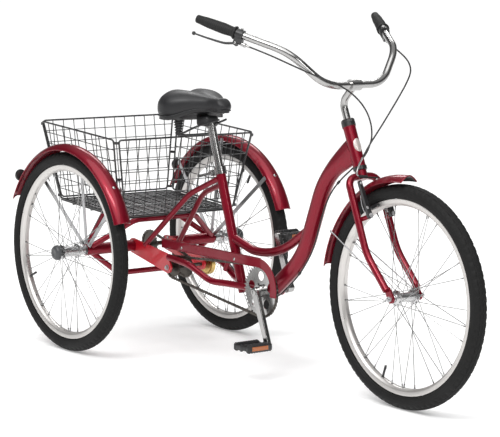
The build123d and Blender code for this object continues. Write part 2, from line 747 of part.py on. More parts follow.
def fender(centre, start, sweep_arc):
    """Curved sheet over a wheel, from one angle above +X over an arc towards +Z."""
    a = radians(start)
    face = Plane(origin=centre, x_dir=(cos(a), 0, sin(a)), z_dir=(-sin(a), 0, cos(a)))
    half = FENDER_W / 2
    edge = FENDER_R - 19
    with BuildPart() as sheet:
        with BuildSketch(face):
            with BuildLine():
                outer = ThreePointArc((edge, -half), (FENDER_R, 0), (edge, half))
                Line(outer @ 1, (edge, half - FENDER_SHEET))
                inner = ThreePointArc((edge, half - FENDER_SHEET), (FENDER_R - FENDER_SHEET, 0),
                                      (edge, FENDER_SHEET - half))
                Line(inner @ 1, outer @ 0)
            make_face()
        revolve(axis=Axis(centre, (0, -1, 0)), revolution_arc=sweep_arc)
    return sheet.part


gather("right_fender", fender(right_hub, 22, 132))
gather("left_fender", fender(left_hub, 22, 132))

front_stays = [rod(front_hub + Vector(-6, side * 46.5, 14),
                   front_hub + Vector(-302, side * 33.2, 160), 2) for side in (-1, 1)]
gather("front_fender", fender(front_hub, 89, 82), *front_stays)

STAY_ANGLES = (42, 88, 135)
bars = []
for side in (-1, 1):
    for angle in STAY_ANGLES:
        way = Vector(cos(radians(angle)), 0, sin(radians(angle)))
        low = rear_hub + way * 21 + Vector(0, side * 258, 0)
        high = rear_hub + way * 346 + Vector(0, side * 291.5, 0)
        with BuildPart() as bar:
            with BuildSketch(Plane(origin=low, x_dir=way.cross(Vector(0, 1, 0)),
                                   z_dir=high - low)):
                Rectangle(14, 2.5)
            extrude(amount=(high - low).length)
        bars.append(bar.part)
gather("fender_stays", *bars)

REFLECTOR_ANGLE = 143.0
discs = []
for centre in (right_hub, left_hub):
    way = Vector(cos(radians(REFLECTOR_ANGLE)), 0, sin(radians(REFLECTOR_ANGLE)))
    seat = centre + way * (FENDER_R + 1)
    body = seat + Vector(-14, 0, 10)
    discs.append(rod(seat, body, 4))
    discs.append(rod(body + Vector(-10, 0, 0), body, 20))
with BuildPart() as reflectors:
    for disc in discs:
        add(disc)
write(reflectors, "rear_reflectors")

# ---- basket -------------------------------------------------------------------------
tilt = radians(BASKET_TILT)
basket_mid = at(*BASKET_MID)
basket_ahead = Vector(cos(tilt), 0, -sin(tilt))
basket_up = Vector(sin(tilt), 0, cos(tilt))
basket_left = Vector(0, 1, 0)


def in_basket(x, y, z):
    return basket_mid + basket_ahead * x + basket_left * y + basket_up * z


def mesh_panel(name, foot_mid, top_mid, foot_width, top_width, width_way):
    """Flat wire panel, wider at its top, with square windows between its wires."""
    rise = top_mid - foot_mid
    face = Plane(origin=foot_mid, x_dir=width_way, z_dir=width_way.cross(rise))
    height = rise.length
    border = 5.0

    def outline(inset):
        low = foot_width / 2 - inset
        high = top_width / 2 - inset
        return [(-low, inset), (low, inset), (high, height - inset), (-high, height - inset)]

    with BuildPart() as panel:
        with BuildSketch(face):
            with BuildLine():
                Polyline(*outline(0), close=True)
            make_face()
            with BuildSketch(mode=Mode.PRIVATE) as windows:
                with Locations((0, height / 2)):
                    with GridLocations(MESH, MESH, 15, 9):
                        Rectangle(MESH - WIRE, MESH - WIRE)
                with BuildLine():
                    Polyline(*outline(border), close=True)
                make_face(mode=Mode.INTERSECT)
            add(windows.sketch_local, mode=Mode.SUBTRACT)
        extrude(amount=WIRE / 2, both=True)
    write(panel, name)


floor_long, floor_wide = BASKET_FLOOR
top_long, top_wide = BASKET_TOP
CORNER_GAP = 10.0
front_top = -BASKET_TOP_BACK + top_long / 2
rear_top = -BASKET_TOP_BACK - top_long / 2
mesh_panel("basket_front_panel", in_basket(floor_long / 2, 0, 4),
           in_basket(front_top, 0, BASKET_HEIGHT),
           floor_wide - 2 * CORNER_GAP, top_wide - 2 * CORNER_GAP, basket_left)
mesh_panel("basket_rear_panel", in_basket(-floor_long / 2, 0, 4),
           in_basket(rear_top, 0, BASKET_HEIGHT),
           floor_wide - 2 * CORNER_GAP, top_wide - 2 * CORNER_GAP, basket_left)
for side, name in ((-1, "basket_right_panel"), (1, "basket_left_panel")):
    mesh_panel(name, in_basket(0, side * floor_wide / 2, 4),
               in_basket(-BASKET_TOP_BACK, side * top_wide / 2, BASKET_HEIGHT),
               floor_long - 2 * CORNER_GAP, top_long - 2 * CORNER_GAP, basket_ahead)

with BuildPart() as basket_floor:
    with BuildSketch(Plane(origin=basket_mid, x_dir=basket_ahead, z_dir=basket_up)):
        Rectangle(floor_long - 6, floor_wide - 6)
        with GridLocations(28, 28, 14, 16):
            Rectangle(24, 24, mode=Mode.SUBTRACT)
    extrude(amount=-5)
write(basket_floor, "basket_floor")

# ---- seat ---------------------------------------------------------------------------
SADDLE_REAR = (241.0, 88.0, 120.0)      # centre and half axes of its wide part
SADDLE_NOSE = (400.0, 28.0)
SADDLE_Z = (772.0, 866.0)
POST_TOP = 558.0
CLAMP_R = 17.0
CLAMP_DEPTH = 12.0
CLAMP_BAR = (14.5, 9.0)     # half length and radius of the bar that the rails sit on
with BuildPart() as seat_post:
    add(rod(on_seat(SEAT_TUBE_LENGTH - 200), on_seat(POST_TOP - CLAMP_DEPTH), POST_R,
            POST_R - 2.2))
    add(rod(on_seat(POST_TOP - CLAMP_DEPTH), on_seat(POST_TOP), CLAMP_R))
    add(across(on_seat(POST_TOP + 2), -CLAMP_BAR[0], CLAMP_BAR[0], CLAMP_BAR[1]))
write(seat_post, "seat_post")

with BuildPart() as saddle:
    with BuildSketch(Plane(origin=at(0, 0, SADDLE_Z[0] + 14))):
        with Locations((SADDLE_REAR[0], 0)):
            Ellipse(SADDLE_REAR[1], SADDLE_REAR[2])
        with Locations((SADDLE_NOSE[0], 0)):
            Circle(SADDLE_NOSE[1])
        make_hull()
    extrude(amount=SADDLE_Z[1] - SADDLE_Z[0] - 14)
    fillet(saddle.edges().group_by(Axis.Z)[-1], 26)
write(saddle, "saddle")

SPRING_Z = (726.0, 785.5)
SPRING_AT = (254.0, 66.0)
springs = [rod(at(SPRING_AT[0], side * SPRING_AT[1], SPRING_Z[0]),
               at(SPRING_AT[0], side * SPRING_AT[1], SPRING_Z[1]), 15) for side in (-1, 1)]
rails = [pipe([at(SPRING_AT[0], side * 53, 741), at(322, side * 26, 760), at(404, side * 14, 780)],
              3.5, bends=(100,)).part for side in (-1, 1)]
gather("saddle_springs", *springs, *rails)

# ---- brake cables -------------------------------------------------------------------
CABLE_R = 2.4
rear_start = right_side(LEVER_AT + 34.6, PIVOT_OUT - 4)
front_start = mirrored(rear_start)

rear_upper = [rear_start, at(944, -246, 1026), at(1004, -205, 996), at(1062, -150, 962),
              at(1092, -92, 939), at(1112, -45, 905), at(1115, -4, 862), at(1113, 18, 818),
              at(1105, 28, 780)]
front_route = [front_start, at(948, 258, 1026), at(1005, 254, 997), at(1042, 236, 968),
               at(1070, 196, 938), at(1099, 140, 899), at(1119, 82, 850), at(1131, 32, 803),
               at(1134, -4, 765), at(1130, -27, 728), at(1124, -43, 695), at(1131, -52, 672),
               at(1140, -26, 666), at(1141, 22, 664)]
rear_lower = [at(1092, 32, 757), at(1075, 35, 731), at(1049, 34, 704), at(1014, 30, 677),
              at(980, 14, 642), at(950, 3, 603), at(922, 0, 550), at(897, 0, 482),
              at(871, 0, 412), at(812, 0, 335), at(754, 0, 286), at(700, 2, 245),
              at(636, 8, 236), at(562, 22, 240), at(488, 35, 240), at(420, 70, 248),
              at(345, 92, 285), at(275, 93, 322), at(218, 92, 328),
              at(JACK[0] - 21.7, 92, 326)]
for route, name in ((rear_upper, "rear_brake_cable_upper"), (front_route, "front_brake_cable"),
                    (rear_lower, "rear_brake_cable_lower")):
    print(name, "bend radii", [round(r) for r in smooth_radii(route)])
    write(pipe(route, CABLE_R), name)
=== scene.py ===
"""Looks of the adult tricycle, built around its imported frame."""
import json
import math

import bmesh
import bpy
from mathutils import Matrix, Quaternion, Vector


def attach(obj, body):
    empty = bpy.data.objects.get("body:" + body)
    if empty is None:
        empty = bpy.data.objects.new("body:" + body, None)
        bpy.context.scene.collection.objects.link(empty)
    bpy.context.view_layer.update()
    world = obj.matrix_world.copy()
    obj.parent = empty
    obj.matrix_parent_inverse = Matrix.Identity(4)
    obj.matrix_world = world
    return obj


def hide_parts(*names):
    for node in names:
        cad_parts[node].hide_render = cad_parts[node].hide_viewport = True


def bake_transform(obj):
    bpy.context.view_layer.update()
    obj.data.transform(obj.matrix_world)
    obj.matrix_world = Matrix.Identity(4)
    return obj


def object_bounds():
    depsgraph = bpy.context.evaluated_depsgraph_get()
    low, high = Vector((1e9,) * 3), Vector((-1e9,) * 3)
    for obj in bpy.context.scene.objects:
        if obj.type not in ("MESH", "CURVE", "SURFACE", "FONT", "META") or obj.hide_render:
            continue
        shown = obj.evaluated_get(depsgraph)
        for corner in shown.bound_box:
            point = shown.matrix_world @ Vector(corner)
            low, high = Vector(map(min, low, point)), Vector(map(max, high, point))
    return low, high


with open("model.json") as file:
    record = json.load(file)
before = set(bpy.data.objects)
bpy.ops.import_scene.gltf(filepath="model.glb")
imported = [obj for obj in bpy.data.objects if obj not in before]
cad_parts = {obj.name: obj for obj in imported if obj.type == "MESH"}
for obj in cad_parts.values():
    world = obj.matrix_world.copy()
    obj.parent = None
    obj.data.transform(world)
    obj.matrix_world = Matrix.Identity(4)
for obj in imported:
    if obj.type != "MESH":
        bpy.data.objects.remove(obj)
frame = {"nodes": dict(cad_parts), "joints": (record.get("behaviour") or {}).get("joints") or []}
cad_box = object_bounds()
joints = {j["name"]: j for j in frame["joints"]}

# ---- places and sizes: the design's own millimetres, turned into metres ------------------
MM = 0.001
X_SHIFT = -647.75               # the rear axle's place along X
X_WAY = Vector((1, 0, 0))
Y_WAY = Vector((0, 1, 0))
Z_WAY = Vector((0, 0, 1))


def at(x, y, z):
    """A point given in millimetres from the rear axle's foot."""
    return Vector(((x + X_SHIFT) * MM, y * MM, z * MM))


def mirrored(point):
    """The same point on the other side of the middle plane."""
    return Vector((point.x, -point.y, point.z))


def joint_point(name):
    return Vector(joints[name]["pos_m"])


def joint_axis(name):
    return Vector(joints[name]["axis"]).normalized()


def polar(centre, angle, radius, y=0.0):
    """A point round a wheel's axis: angle in degrees above +X, y across."""
    a = math.radians(angle)
    return centre + Vector((radius * math.cos(a), y, radius * math.sin(a)))


front_hub = joint_point("front_wheel_spin")
rear_mid = joint_point("drive_axle_turn")
right_hub = joint_point("right_wheel_spin")
left_hub = mirrored(right_hub)
crank_axis = joint_point("crank_turn")
jack_axis = joint_point("jackshaft_turn")
steer_up = joint_axis("steering_turn")
steer_ahead = Y_WAY.cross(steer_up)
head_foot = joint_point("steering_turn")
seat_up = joint_axis("seat_height")


def on_head(along, ahead=0.0, left=0.0):
    """A point along the head tube from its foot, in millimetres."""
    return head_foot + (steer_up * along + steer_ahead * ahead + Y_WAY * left) * MM


# ---- mesh tools ----------------------------------------------------------------------------
ROUND = 16                      # sides of a thin round section


def circle_section(radius, sides=ROUND):
    step = 2 * math.pi / sides
    return [(radius * math.cos(i * step), radius * math.sin(i * step)) for i in range(sides)]


def oval_section(wide, high, sides=ROUND, power=2.0):
    """Closed outline of a rounded bar; a power above 2 makes it boxier."""
    outline = []
    for i in range(sides):
        a = 2 * math.pi * i / sides
        c, s = math.cos(a), math.sin(a)
        outline.append((wide / 2 * math.copysign(abs(c) ** (2 / power), c),
                        high / 2 * math.copysign(abs(s) ** (2 / power), s)))
    return outline


def tangents_of(points, closed):
    count = len(points)
    found = []
    for i in range(count):
        before = points[i - 1] if i or closed else points[i]
        after = points[(i + 1) % count] if i < count - 1 or closed else points[i]
        found.append((after - before).normalized())
    return found


def join_rings(bm, near, far):
    """Faces between two rings of points; a ring of one point is the tip of a cone."""
    if len(near) == len(far) == 1:
        return
    for k in range(max(len(near), len(far))):
        if len(near) == 1:
            corners = (near[0], far[k - 1], far[k])
        elif len(far) == 1:
            corners = (near[k], near[k - 1], far[0])
        else:
            corners = (near[k], near[k - 1], far[k - 1], far[k])
        bm.faces.new(corners)


def skin(bm, rings, closed=False):
    """Join each ring to the next, and if closed the last one to the first."""
    for i in range(len(rings) - (0 if closed else 1)):
        join_rings(bm, rings[i], rings[(i + 1) % len(rings)])


def end_caps(bm, first, last):
    bm.faces.new(first)
    bm.faces.new(list(reversed(last)))


def sweep(bm, points, section, closed=False, side=None, sizes=None):
    """Carry a closed outline along points; side is the outline's first direction."""
    ways = tangents_of(points, closed)
    across = ways[0].orthogonal().normalized() if side is None else side
    across = (across - ways[0] * across.dot(ways[0])).normalized()
    rings = []
    for i, point in enumerate(points):
        if i:
            across = ways[i - 1].rotation_difference(ways[i]) @ across
            if side is not None:
                across = (side - ways[i] * side.dot(ways[i])).normalized()
        over = ways[i].cross(across)
        size = 1.0 if sizes is None else sizes[i]
        rings.append([bm.verts.new(point + (across * u + over * v) * size) for u, v in section])
    skin(bm, rings, closed)
    if not closed:
        end_caps(bm, rings[0], rings[-1])


def tube(bm, points, radius, sides=ROUND, closed=False):
    sweep(bm, points, circle_section(radius, sides), closed)


def lathe(bm, centre, axis, outline, segments=48, closed=False):
    """Turn an outline of (distance along the axis, radius) about the axis, in millimetres."""
    axis = axis.normalized()
    u = axis.orthogonal().normalized()
    v = axis.cross(u)
    rings = []
    for along, radius in outline:
        foot = centre + axis * along * MM
        if radius < 1e-6:
            rings.append([bm.verts.new(foot)])
            continue
        rings.append([bm.verts.new(foot + (u * math.cos(a) + v * math.sin(a)) * radius * MM)
                      for a in (2 * math.pi * i / segments for i in range(segments))])
    skin(bm, rings, closed)
    if not closed:
        for ring in (rings[0], rings[-1]):
            if len(ring) > 1:
                bm.faces.new(ring)


def rounded_box(bm, centre, size, x_way=X_WAY, z_way=Z_WAY, edge=1.0, steps=2):
    """A box with rounded edges; sizes in millimetres along x_way, its left and z_way."""
    x_way = x_way.normalized()
    y_way = z_way.cross(x_way).normalized()
    turn = Matrix((x_way, y_way, x_way.cross(y_way))).transposed().to_4x4()
    place = Matrix.Translation(centre) @ turn @ Matrix.Diagonal((*[s * MM for s in size], 1))
    made = bmesh.ops.create_cube(bm, size=1.0, matrix=place)
    edges = list({e for v in made["verts"] for e in v.link_edges})
    bmesh.ops.bevel(bm, geom=edges, offset=edge * MM, segments=steps, profile=0.5,
                    affect="EDGES")


def hex_head(bm, seat, axis, across_flats, height, washer=0.0):
    """A chamfered hexagon head on its seat, with a washer under it if one is given."""
    axis = axis.normalized()
    if washer:
        lathe(bm, seat, axis, [(0, 0), (0, washer), (0.9, washer), (1.3, washer - 0.4), (1.3, 0)],
              24)
        seat = seat + axis * 1.3 * MM
    corner = across_flats / math.sqrt(3)
    lathe(bm, seat, axis, [(0, 0), (0, corner), (height * 0.8, corner),
                           (height, corner * 0.84), (height, corner * 0.5),
                           (height * 0.86, corner * 0.45), (height * 0.86, 0)], 6)


def dome_head(bm, seat, axis, radius, height):
    """A button head screw with a round recess."""
    arc = [(height * math.sin(a), radius * math.cos(a))
           for a in (math.pi / 2 * i / 6 for i in range(5))]
    lathe(bm, seat, axis, [(0, 0), *arc, (height * 0.92, radius * 0.36),
                           (height * 0.4, radius * 0.3), (height * 0.4, 0)], 24)


def helix(foot, axis, turns, pitch, radius_at, steps=18):
    """Points of a coil; radius_at gives its radius from the share of its length."""
    axis = axis.normalized()
    u = axis.orthogonal().normalized()
    v = axis.cross(u)
    points = []
    total = int(turns * steps)
    for i in range(total + 1):
        share = i / total
        a = 2 * math.pi * i / steps
        r = radius_at(share) * MM
        points.append(foot + axis * share * turns * pitch * MM
                      + (u * math.cos(a) + v * math.sin(a)) * r)
    return points


def ease(t):
    """A smooth step from 0 to 1."""
    t = min(max(t, 0.0), 1.0)
    return t * t * (3 - 2 * t)


def in_scene(name, data):
    """A new object that shows the data."""
    made = bpy.data.objects.new(name, data)
    bpy.context.scene.collection.objects.link(made)
    return made


def smooth_curve(name, points, fineness):
    """Curve data with one open NURBS spline that the points control."""
    curve = bpy.data.curves.new(name, "CURVE")
    curve.dimensions = "3D"
    curve.resolution_u = fineness
    spline = curve.splines.new("NURBS")
    spline.points.add(len(points) - 1)
    for knot, point in zip(spline.points, points):
        knot.co = (*point, 1)
    spline.order_u = 3
    spline.use_endpoint_u = True
    return curve


def smooth_line(points, fineness=6):
    """Points along the NURBS line that the given points control."""
    curve = smooth_curve("line", points, fineness)
    holder = in_scene("line", curve)
    bpy.context.view_layer.update()
    mesh = bpy.data.meshes.new_from_object(holder)
    found = [v.co.copy() for v in mesh.vertices]
    bpy.data.objects.remove(holder)
    bpy.data.meshes.remove(mesh)
    bpy.data.curves.remove(curve)
    return found


def as_object(name, bm, finish, smooth=38):
    """Turn a bmesh into a shaded object with its material."""
    bmesh.ops.recalc_face_normals(bm, faces=bm.faces)
    mesh = bpy.data.meshes.new(name)
    bm.to_mesh(mesh)
    bm.free()
    mesh.shade_smooth()
    mesh.set_sharp_from_angle(angle=math.radians(smooth))
    mesh.materials.append(finish)
    return in_scene(name, mesh)


def piece(name, bm, finish, body, nodes=(), smooth=38):
    """Make the object, seat it on its body, and hide the CAD nodes it stands for."""
    made = as_object(name, bm, finish, smooth)
    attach(made, body)
    if nodes:
        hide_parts(*nodes)
    return made


# ---- materials -----------------------------------------------------------------------------
def set_inputs(node, values):
    """Set a node's sockets by name, and leave those whose value is None."""
    for name, value in values.items():
        if value is not None:
            node.inputs[name].default_value = value


def shader(name, colour, second=None, metallic=0.0, roughness=(0.4, 0.5), grain=120.0,
           blotch=9.0, bump=None, coat=(None, None), specular=None, sheen=None, cells=False,
           transmission=None, iridescence=None):
    """A procedural finish: colour and roughness vary with noise, and bump gives the grain.

    bump is (scale, strength, depth in metres), coat is (weight, roughness), and cells makes
    the bump a pebbled one.
    """
    made = bpy.data.materials.new(name)
    made.use_nodes = True
    nodes = made.node_tree.nodes
    link = made.node_tree.links.new
    surface = nodes["Principled BSDF"]
    set_inputs(surface, {"Metallic": metallic, "Specular IOR Level": specular,
                         "Coat Weight": coat[0], "Coat Roughness": coat[1],
                         "Sheen Weight": sheen, "Sheen Roughness": 0.4 if sheen else None,
                         "Transmission Weight": transmission,
                         "Thin Film Thickness": iridescence})
    coordinates = nodes.new("ShaderNodeTexCoord").outputs["Object"]

    def noise(scale, detail=4.0):
        texture = nodes.new("ShaderNodeTexNoise")
        set_inputs(texture, {"Scale": scale, "Detail": detail})
        link(coordinates, texture.inputs["Vector"])
        return texture.outputs["Fac"]

    fine = noise(grain)
    broad = noise(blotch, 3.0)
    tones = nodes.new("ShaderNodeMix")
    tones.data_type = "RGBA"
    tones.inputs[6].default_value = (*colour, 1)
    tones.inputs[7].default_value = (*(second or colour), 1)
    blend = nodes.new("ShaderNodeMath")
    blend.operation = "MULTIPLY_ADD"
    blend.inputs[1].default_value = 0.6
    link(fine, blend.inputs[0])
    share = nodes.new("ShaderNodeMath")
    share.operation = "MULTIPLY"
    share.inputs[1].default_value = 0.4
    link(broad, share.inputs[0])
    link(share.outputs[0], blend.inputs[2])
    link(blend.outputs[0], tones.inputs[0])
    link(tones.outputs[2], surface.inputs["Base Color"])
    gloss = nodes.new("ShaderNodeMapRange")
    set_inputs(gloss, {"From Min": 0.3, "From Max": 0.7,
                       "To Min": roughness[0], "To Max": roughness[1]})
    link(broad, gloss.inputs["Value"])
    link(gloss.outputs[0], surface.inputs["Roughness"])
    if bump:
        scale, strength, depth = bump
        if cells:
            texture = nodes.new("ShaderNodeTexVoronoi")
            texture.feature = "DISTANCE_TO_EDGE"
            set_inputs(texture, {"Scale": scale})
            link(coordinates, texture.inputs["Vector"])
            height = texture.outputs["Distance"]
        else:
            height = noise(scale, 2.0)
        relief = nodes.new("ShaderNodeBump")
        set_inputs(relief, {"Strength": strength, "Distance": depth})
        link(height, relief.inputs["Height"])
        link(relief.outputs[0], surface.inputs["Normal"])
    return made


red_paint = shader("red_paint", (0.135, 0.0012, 0.009), (0.30, 0.004, 0.022), metallic=0.55,
                   roughness=(0.30, 0.36), grain=1400.0, blotch=3.0, bump=(2600.0, 0.10, 2e-5),
                   coat=(0.45, 0.04), specular=0.2)
plate_paint = shader("plate_paint", (0.50, 0.006, 0.016), (0.60, 0.010, 0.024),
                     roughness=(0.28, 0.4), grain=300.0, bump=(700.0, 0.12, 5e-5),
                     coat=(0.6, 0.08))
chrome = shader("chrome", (0.37, 0.365, 0.36), (0.48, 0.475, 0.47), metallic=1.0,
                roughness=(0.15, 0.25), grain=60.0, blotch=14.0)
rim_alloy = shader("rim_alloy", (0.56, 0.54, 0.52), (0.68, 0.66, 0.64), metallic=0.7,
                   roughness=(0.26, 0.38), grain=900.0, blotch=20.0, bump=(1800.0, 0.08, 2e-5))
spoke_steel = shader("spoke_steel", (0.24, 0.24, 0.24), (0.36, 0.36, 0.355), metallic=1.0,
                     roughness=(0.16, 0.26), grain=400.0)
hub_steel = shader("hub_steel", (0.50, 0.50, 0.51), (0.66, 0.66, 0.66), metallic=1.0,
                   roughness=(0.18, 0.34), grain=350.0, bump=(900.0, 0.06, 2e-5))
zinc = shader("zinc", (0.40, 0.40, 0.41), (0.60, 0.60, 0.61), metallic=0.95,
              roughness=(0.30, 0.46), grain=260.0, blotch=30.0, bump=(1200.0, 0.15, 2e-5))
cap_plastic = shader("cap_plastic", (0.050, 0.052, 0.056), (0.075, 0.078, 0.083),
                     roughness=(0.32, 0.45), grain=500.0, bump=(1500.0, 0.12, 3e-5))
tyre_rubber = shader("tyre_rubber", (0.007, 0.007, 0.0072), (0.016, 0.0157, 0.0154),
                     roughness=(0.55, 0.74), grain=220.0, blotch=11.0,
                     bump=(900.0, 0.35, 1.2e-4), specular=0.18)
grip_rubber = shader("grip_rubber", (0.012, 0.012, 0.012), (0.022, 0.022, 0.022),
                     roughness=(0.55, 0.7), grain=300.0, bump=(1400.0, 0.3, 8e-5), specular=0.3)
black_plastic = shader("black_plastic", (0.014, 0.014, 0.015), (0.026, 0.026, 0.027),
                       roughness=(0.34, 0.46), grain=420.0, bump=(1700.0, 0.3, 6e-5), cells=True)
black_metal = shader("black_metal", (0.010, 0.010, 0.011), (0.020, 0.020, 0.021),
                     roughness=(0.26, 0.38), grain=200.0, bump=(500.0, 0.12, 6e-5),
                     coat=(0.35, 0.18))
chain_steel = shader("chain_steel", (0.045, 0.040, 0.034), (0.16, 0.145, 0.13), metallic=0.95,
                     roughness=(0.26, 0.5), grain=330.0, blotch=45.0)
yellow_zinc = shader("yellow_zinc", (0.52, 0.34, 0.10), (0.74, 0.56, 0.24), metallic=0.9,
                     roughness=(0.24, 0.42), grain=90.0, blotch=35.0, iridescence=320.0)
saddle_vinyl = shader("saddle_vinyl", (0.010, 0.010, 0.011), (0.021, 0.021, 0.023),
                      roughness=(0.36, 0.5), grain=260.0, blotch=16.0,
                      bump=(520.0, 0.45, 1.6e-4), cells=True, sheen=0.08, specular=0.4)
elastomer = shader("elastomer", (0.013, 0.013, 0.014), (0.022, 0.022, 0.023),
                   roughness=(0.5, 0.62), grain=300.0, bump=(1000.0, 0.2, 6e-5))
red_lens = shader("red_lens", (0.30, 0.004, 0.008), (0.46, 0.010, 0.014), roughness=(0.08, 0.14),
                  grain=700.0, coat=(1.0, 0.02), transmission=0.25)
amber_lens = shader("amber_lens", (0.42, 0.095, 0.008), (0.56, 0.15, 0.016), roughness=(0.08, 0.15),
                    grain=700.0, coat=(1.0, 0.02), transmission=0.2)
cable_black = shader("cable_black", (0.008, 0.008, 0.008), (0.016, 0.016, 0.016),
                     roughness=(0.22, 0.34), grain=500.0, bump=(900.0, 0.1, 3e-5))
badge_metal = shader("badge_metal", (0.60, 0.52, 0.49), (0.74, 0.68, 0.64), metallic=0.35,
                     roughness=(0.2, 0.3), grain=500.0, bump=(700.0, 0.2, 4e-5))

NODE_FINISH = {
    "red_paint": (red_paint, ["head_tube", "top_tube", "seat_tube", "axle_housings",
                              "bottom_bracket_shell", "chain_stays", "seat_stays", "rear_hoops",
                              "chain_guard", "right_fender", "left_fender", "fork"]),
    "plate_paint": (plate_paint, ["drive_plates"]),
    "chrome": (chrome, ["stem", "handlebar", "seat_post", "seat_collar", "seat_clamp_lever",
                        "right_crank", "left_crank", "chainring"]),
    "steel": (zinc, ["axle_bearings", "fender_stays", "front_axle"]),
    "black_plastic": (black_plastic, ["brake_lever_mounts"]),
    "black_metal": (black_metal, ["headset_cups", "right_brake_arm", "left_brake_arm"]),
    "chain_steel": (chain_steel, ["jackshaft", "drive_axle"]),
    "brass": (yellow_zinc, ["brake_drum", "band_brake"]),
}
for finish, names in NODE_FINISH.values():
    for name in names:
        mesh = frame["nodes"][name].data
        mesh.materials.clear()
        mesh.materials.append(finish)

# ---- down tube, squeezed where it meets the head tube ---------------------------------------
DOWN_R = 25.0
SQUEEZE_REACH = 150.0           # the oval runs out this far from the head tube
SQUEEZE = 0.27                  # share taken off its width at the head tube
FLARE = 0.6                     # share added to its depth there


def bent_line(points, radii, steps=14):
    """Straight runs joined by tangent arcs, with a few points on each straight run."""
    line = [points[0]]
    for before, corner, after, radius in zip(points, points[1:], points[2:], radii):
        into, out = (corner - before).normalized(), (after - corner).normalized()
        turn = into.angle(out)
        start = corner - into * radius * MM * math.tan(turn / 2)
        centre = start + (out - into * out.dot(into)).normalized() * radius * MM
        line += [line[-1].lerp(start, k / 8) for k in range(1, 8)]
        line += [centre + Quaternion(into.cross(out), turn * k / steps) @ (start - centre)
                 for k in range(steps + 1)]
    return line + [line[-1].lerp(points[-1], k / 4) for k in range(1, 5)]


down_line = bent_line([at(1054, 0, 740), at(930, 0, 650), at(829, 0, 388), at(682, 0, 270)],
                      (260, 300))
bm = bmesh.new()
tube(bm, down_line, DOWN_R * MM, 56)
for v in bm.verts:
    near_head = ease(1 - (v.co - down_line[0]).length / (SQUEEZE_REACH * MM))
    middle = min(down_line, key=lambda p: (Vector((v.co.x, 0, v.co.z)) - p).length)
    v.co.y *= 1 - SQUEEZE * near_head
    v.co.x += (v.co.x - middle.x) * FLARE * near_head
    v.co.z += (v.co.z - middle.z) * FLARE * near_head
piece("down_tube_formed", bm, red_paint, "frame", ["down_tube"])

# ---- wheels --------------------------------------------------------------------------------
TYRE_MID = 306.0                # the tyre section's middle, from the axle
TYRE_SECTION = 24.0
RIM_IN = 267.0
SPOKES_PER_SIDE = 18
SPOKE_SWEEP = 55.0
FLANGE_HOLE_R = 19.0
NIPPLE_LENGTH = 12.0


def tread_depth(around, across):
    """How far the tread is cut in, in millimetres: around counts blocks, across is in degrees."""
    side = abs(across)
    wave = 3.2 * (1 if int(around) % 2 else -1)
    if side < 5:
        return 0.0
    if abs(side - 9 - wave * 0.6) < 3.4:
        return 1.3
    if 14 < side < 30:
        return 1.2 if int(around) % 4 == 0 else 0.0
    if abs(side - 32) < 3.0:
        return 1.4
    if 35 < side < 62:
        return 1.5 if int(around) % 3 == 0 else 0.0
    if abs(side - 78) < 2.5 or abs(side - 112) < 2.5:
        return -0.5
    return 0.0


def tyre_mesh():
    bm = bmesh.new()
    segments = 504
    edge = 136
    angles = [-edge + i * 2 * edge / 76 for i in range(77)]
    rings = []
    for k in range(segments):
        turn = 2 * math.pi * k / segments
        ring = []
        for angle in angles:
            a = math.radians(angle)
            r = TYRE_SECTION - tread_depth(k / 2, angle)
            out = (TYRE_MID + r * math.cos(a)) * MM
            ring.append(bm.verts.new((out * math.cos(turn), r * math.sin(a) * MM,
                                      out * math.sin(turn))))
        rings.append(ring)
    for k in range(segments):
        near, far = rings[k - 1], rings[k]
        for i in range(len(angles) - 1):
            bm.faces.new((near[i], near[i + 1], far[i + 1], far[i]))
    return bm


def rim_outline():
    """Double-wall rim with rolled lips, as (y, radius) all the way round its section."""
    half = [(0, RIM_IN), (5, RIM_IN), (8.5, RIM_IN + 1.6), (12, RIM_IN + 5), (14, RIM_IN + 7.4),
            (14.7, RIM_IN + 9), (14.7, RIM_IN + 17.5), (15.2, RIM_IN + 19), (14.6, RIM_IN + 20.6),
            (13.4, RIM_IN + 20.8), (12.6, RIM_IN + 19.6), (12.8, RIM_IN + 12), (9, RIM_IN + 9.6),
            (0, RIM_IN + 9)]
    return half + [(-y, r) for y, r in reversed(half) if y]


def spoke_lines(flange_y):
    """Head, elbow, body and rim end of every spoke of a wheel at the origin, in millimetres."""
    lines = []
    for side in (-1, 1):
        for k in range(SPOKES_PER_SIDE):
            lean = 1 if k % 2 else -1
            hub_angle = math.radians(k * 360 / SPOKES_PER_SIDE + side * 5)
            rim_angle = hub_angle + lean * math.radians(SPOKE_SWEEP)
            flange = side * flange_y
            hole = Vector((FLANGE_HOLE_R * math.cos(hub_angle), flange,
                           FLANGE_HOLE_R * math.sin(hub_angle)))
            end = Vector((RIM_IN * math.cos(rim_angle), side * 3, RIM_IN * math.sin(rim_angle)))
            bend = hole + Vector((0, lean * 2.9, 0))
            way = (end - bend).normalized()
            lines.append((hole - Vector((0, lean * 2.6, 0)), hole + Vector((0, lean * 1.2, 0)),
                          bend + way * 1.5, bend + way * 5, end))
    return lines


def spokes_mesh(flange_y):
    bm = bmesh.new()
    for head, out, bend, start, end in spoke_lines(flange_y):
        tube(bm, [p * MM for p in (head, out, bend, start, end)], 1.05 * MM, 8)
        lathe(bm, head * MM, out - head, [(-1.0, 0), (-1.0, 1.4), (-0.2, 2.0), (0.5, 2.0),
                                          (0.5, 0)], 10)
        way = (start - end).normalized()
        lathe(bm, end * MM, way, [(-1.5, 0), (-1.5, 3.4), (0.6, 3.4), (1.2, 2.0),
                                  (NIPPLE_LENGTH - 1, 1.9), (NIPPLE_LENGTH, 1.3),
                                  (NIPPLE_LENGTH, 0)], 10)
    return bm


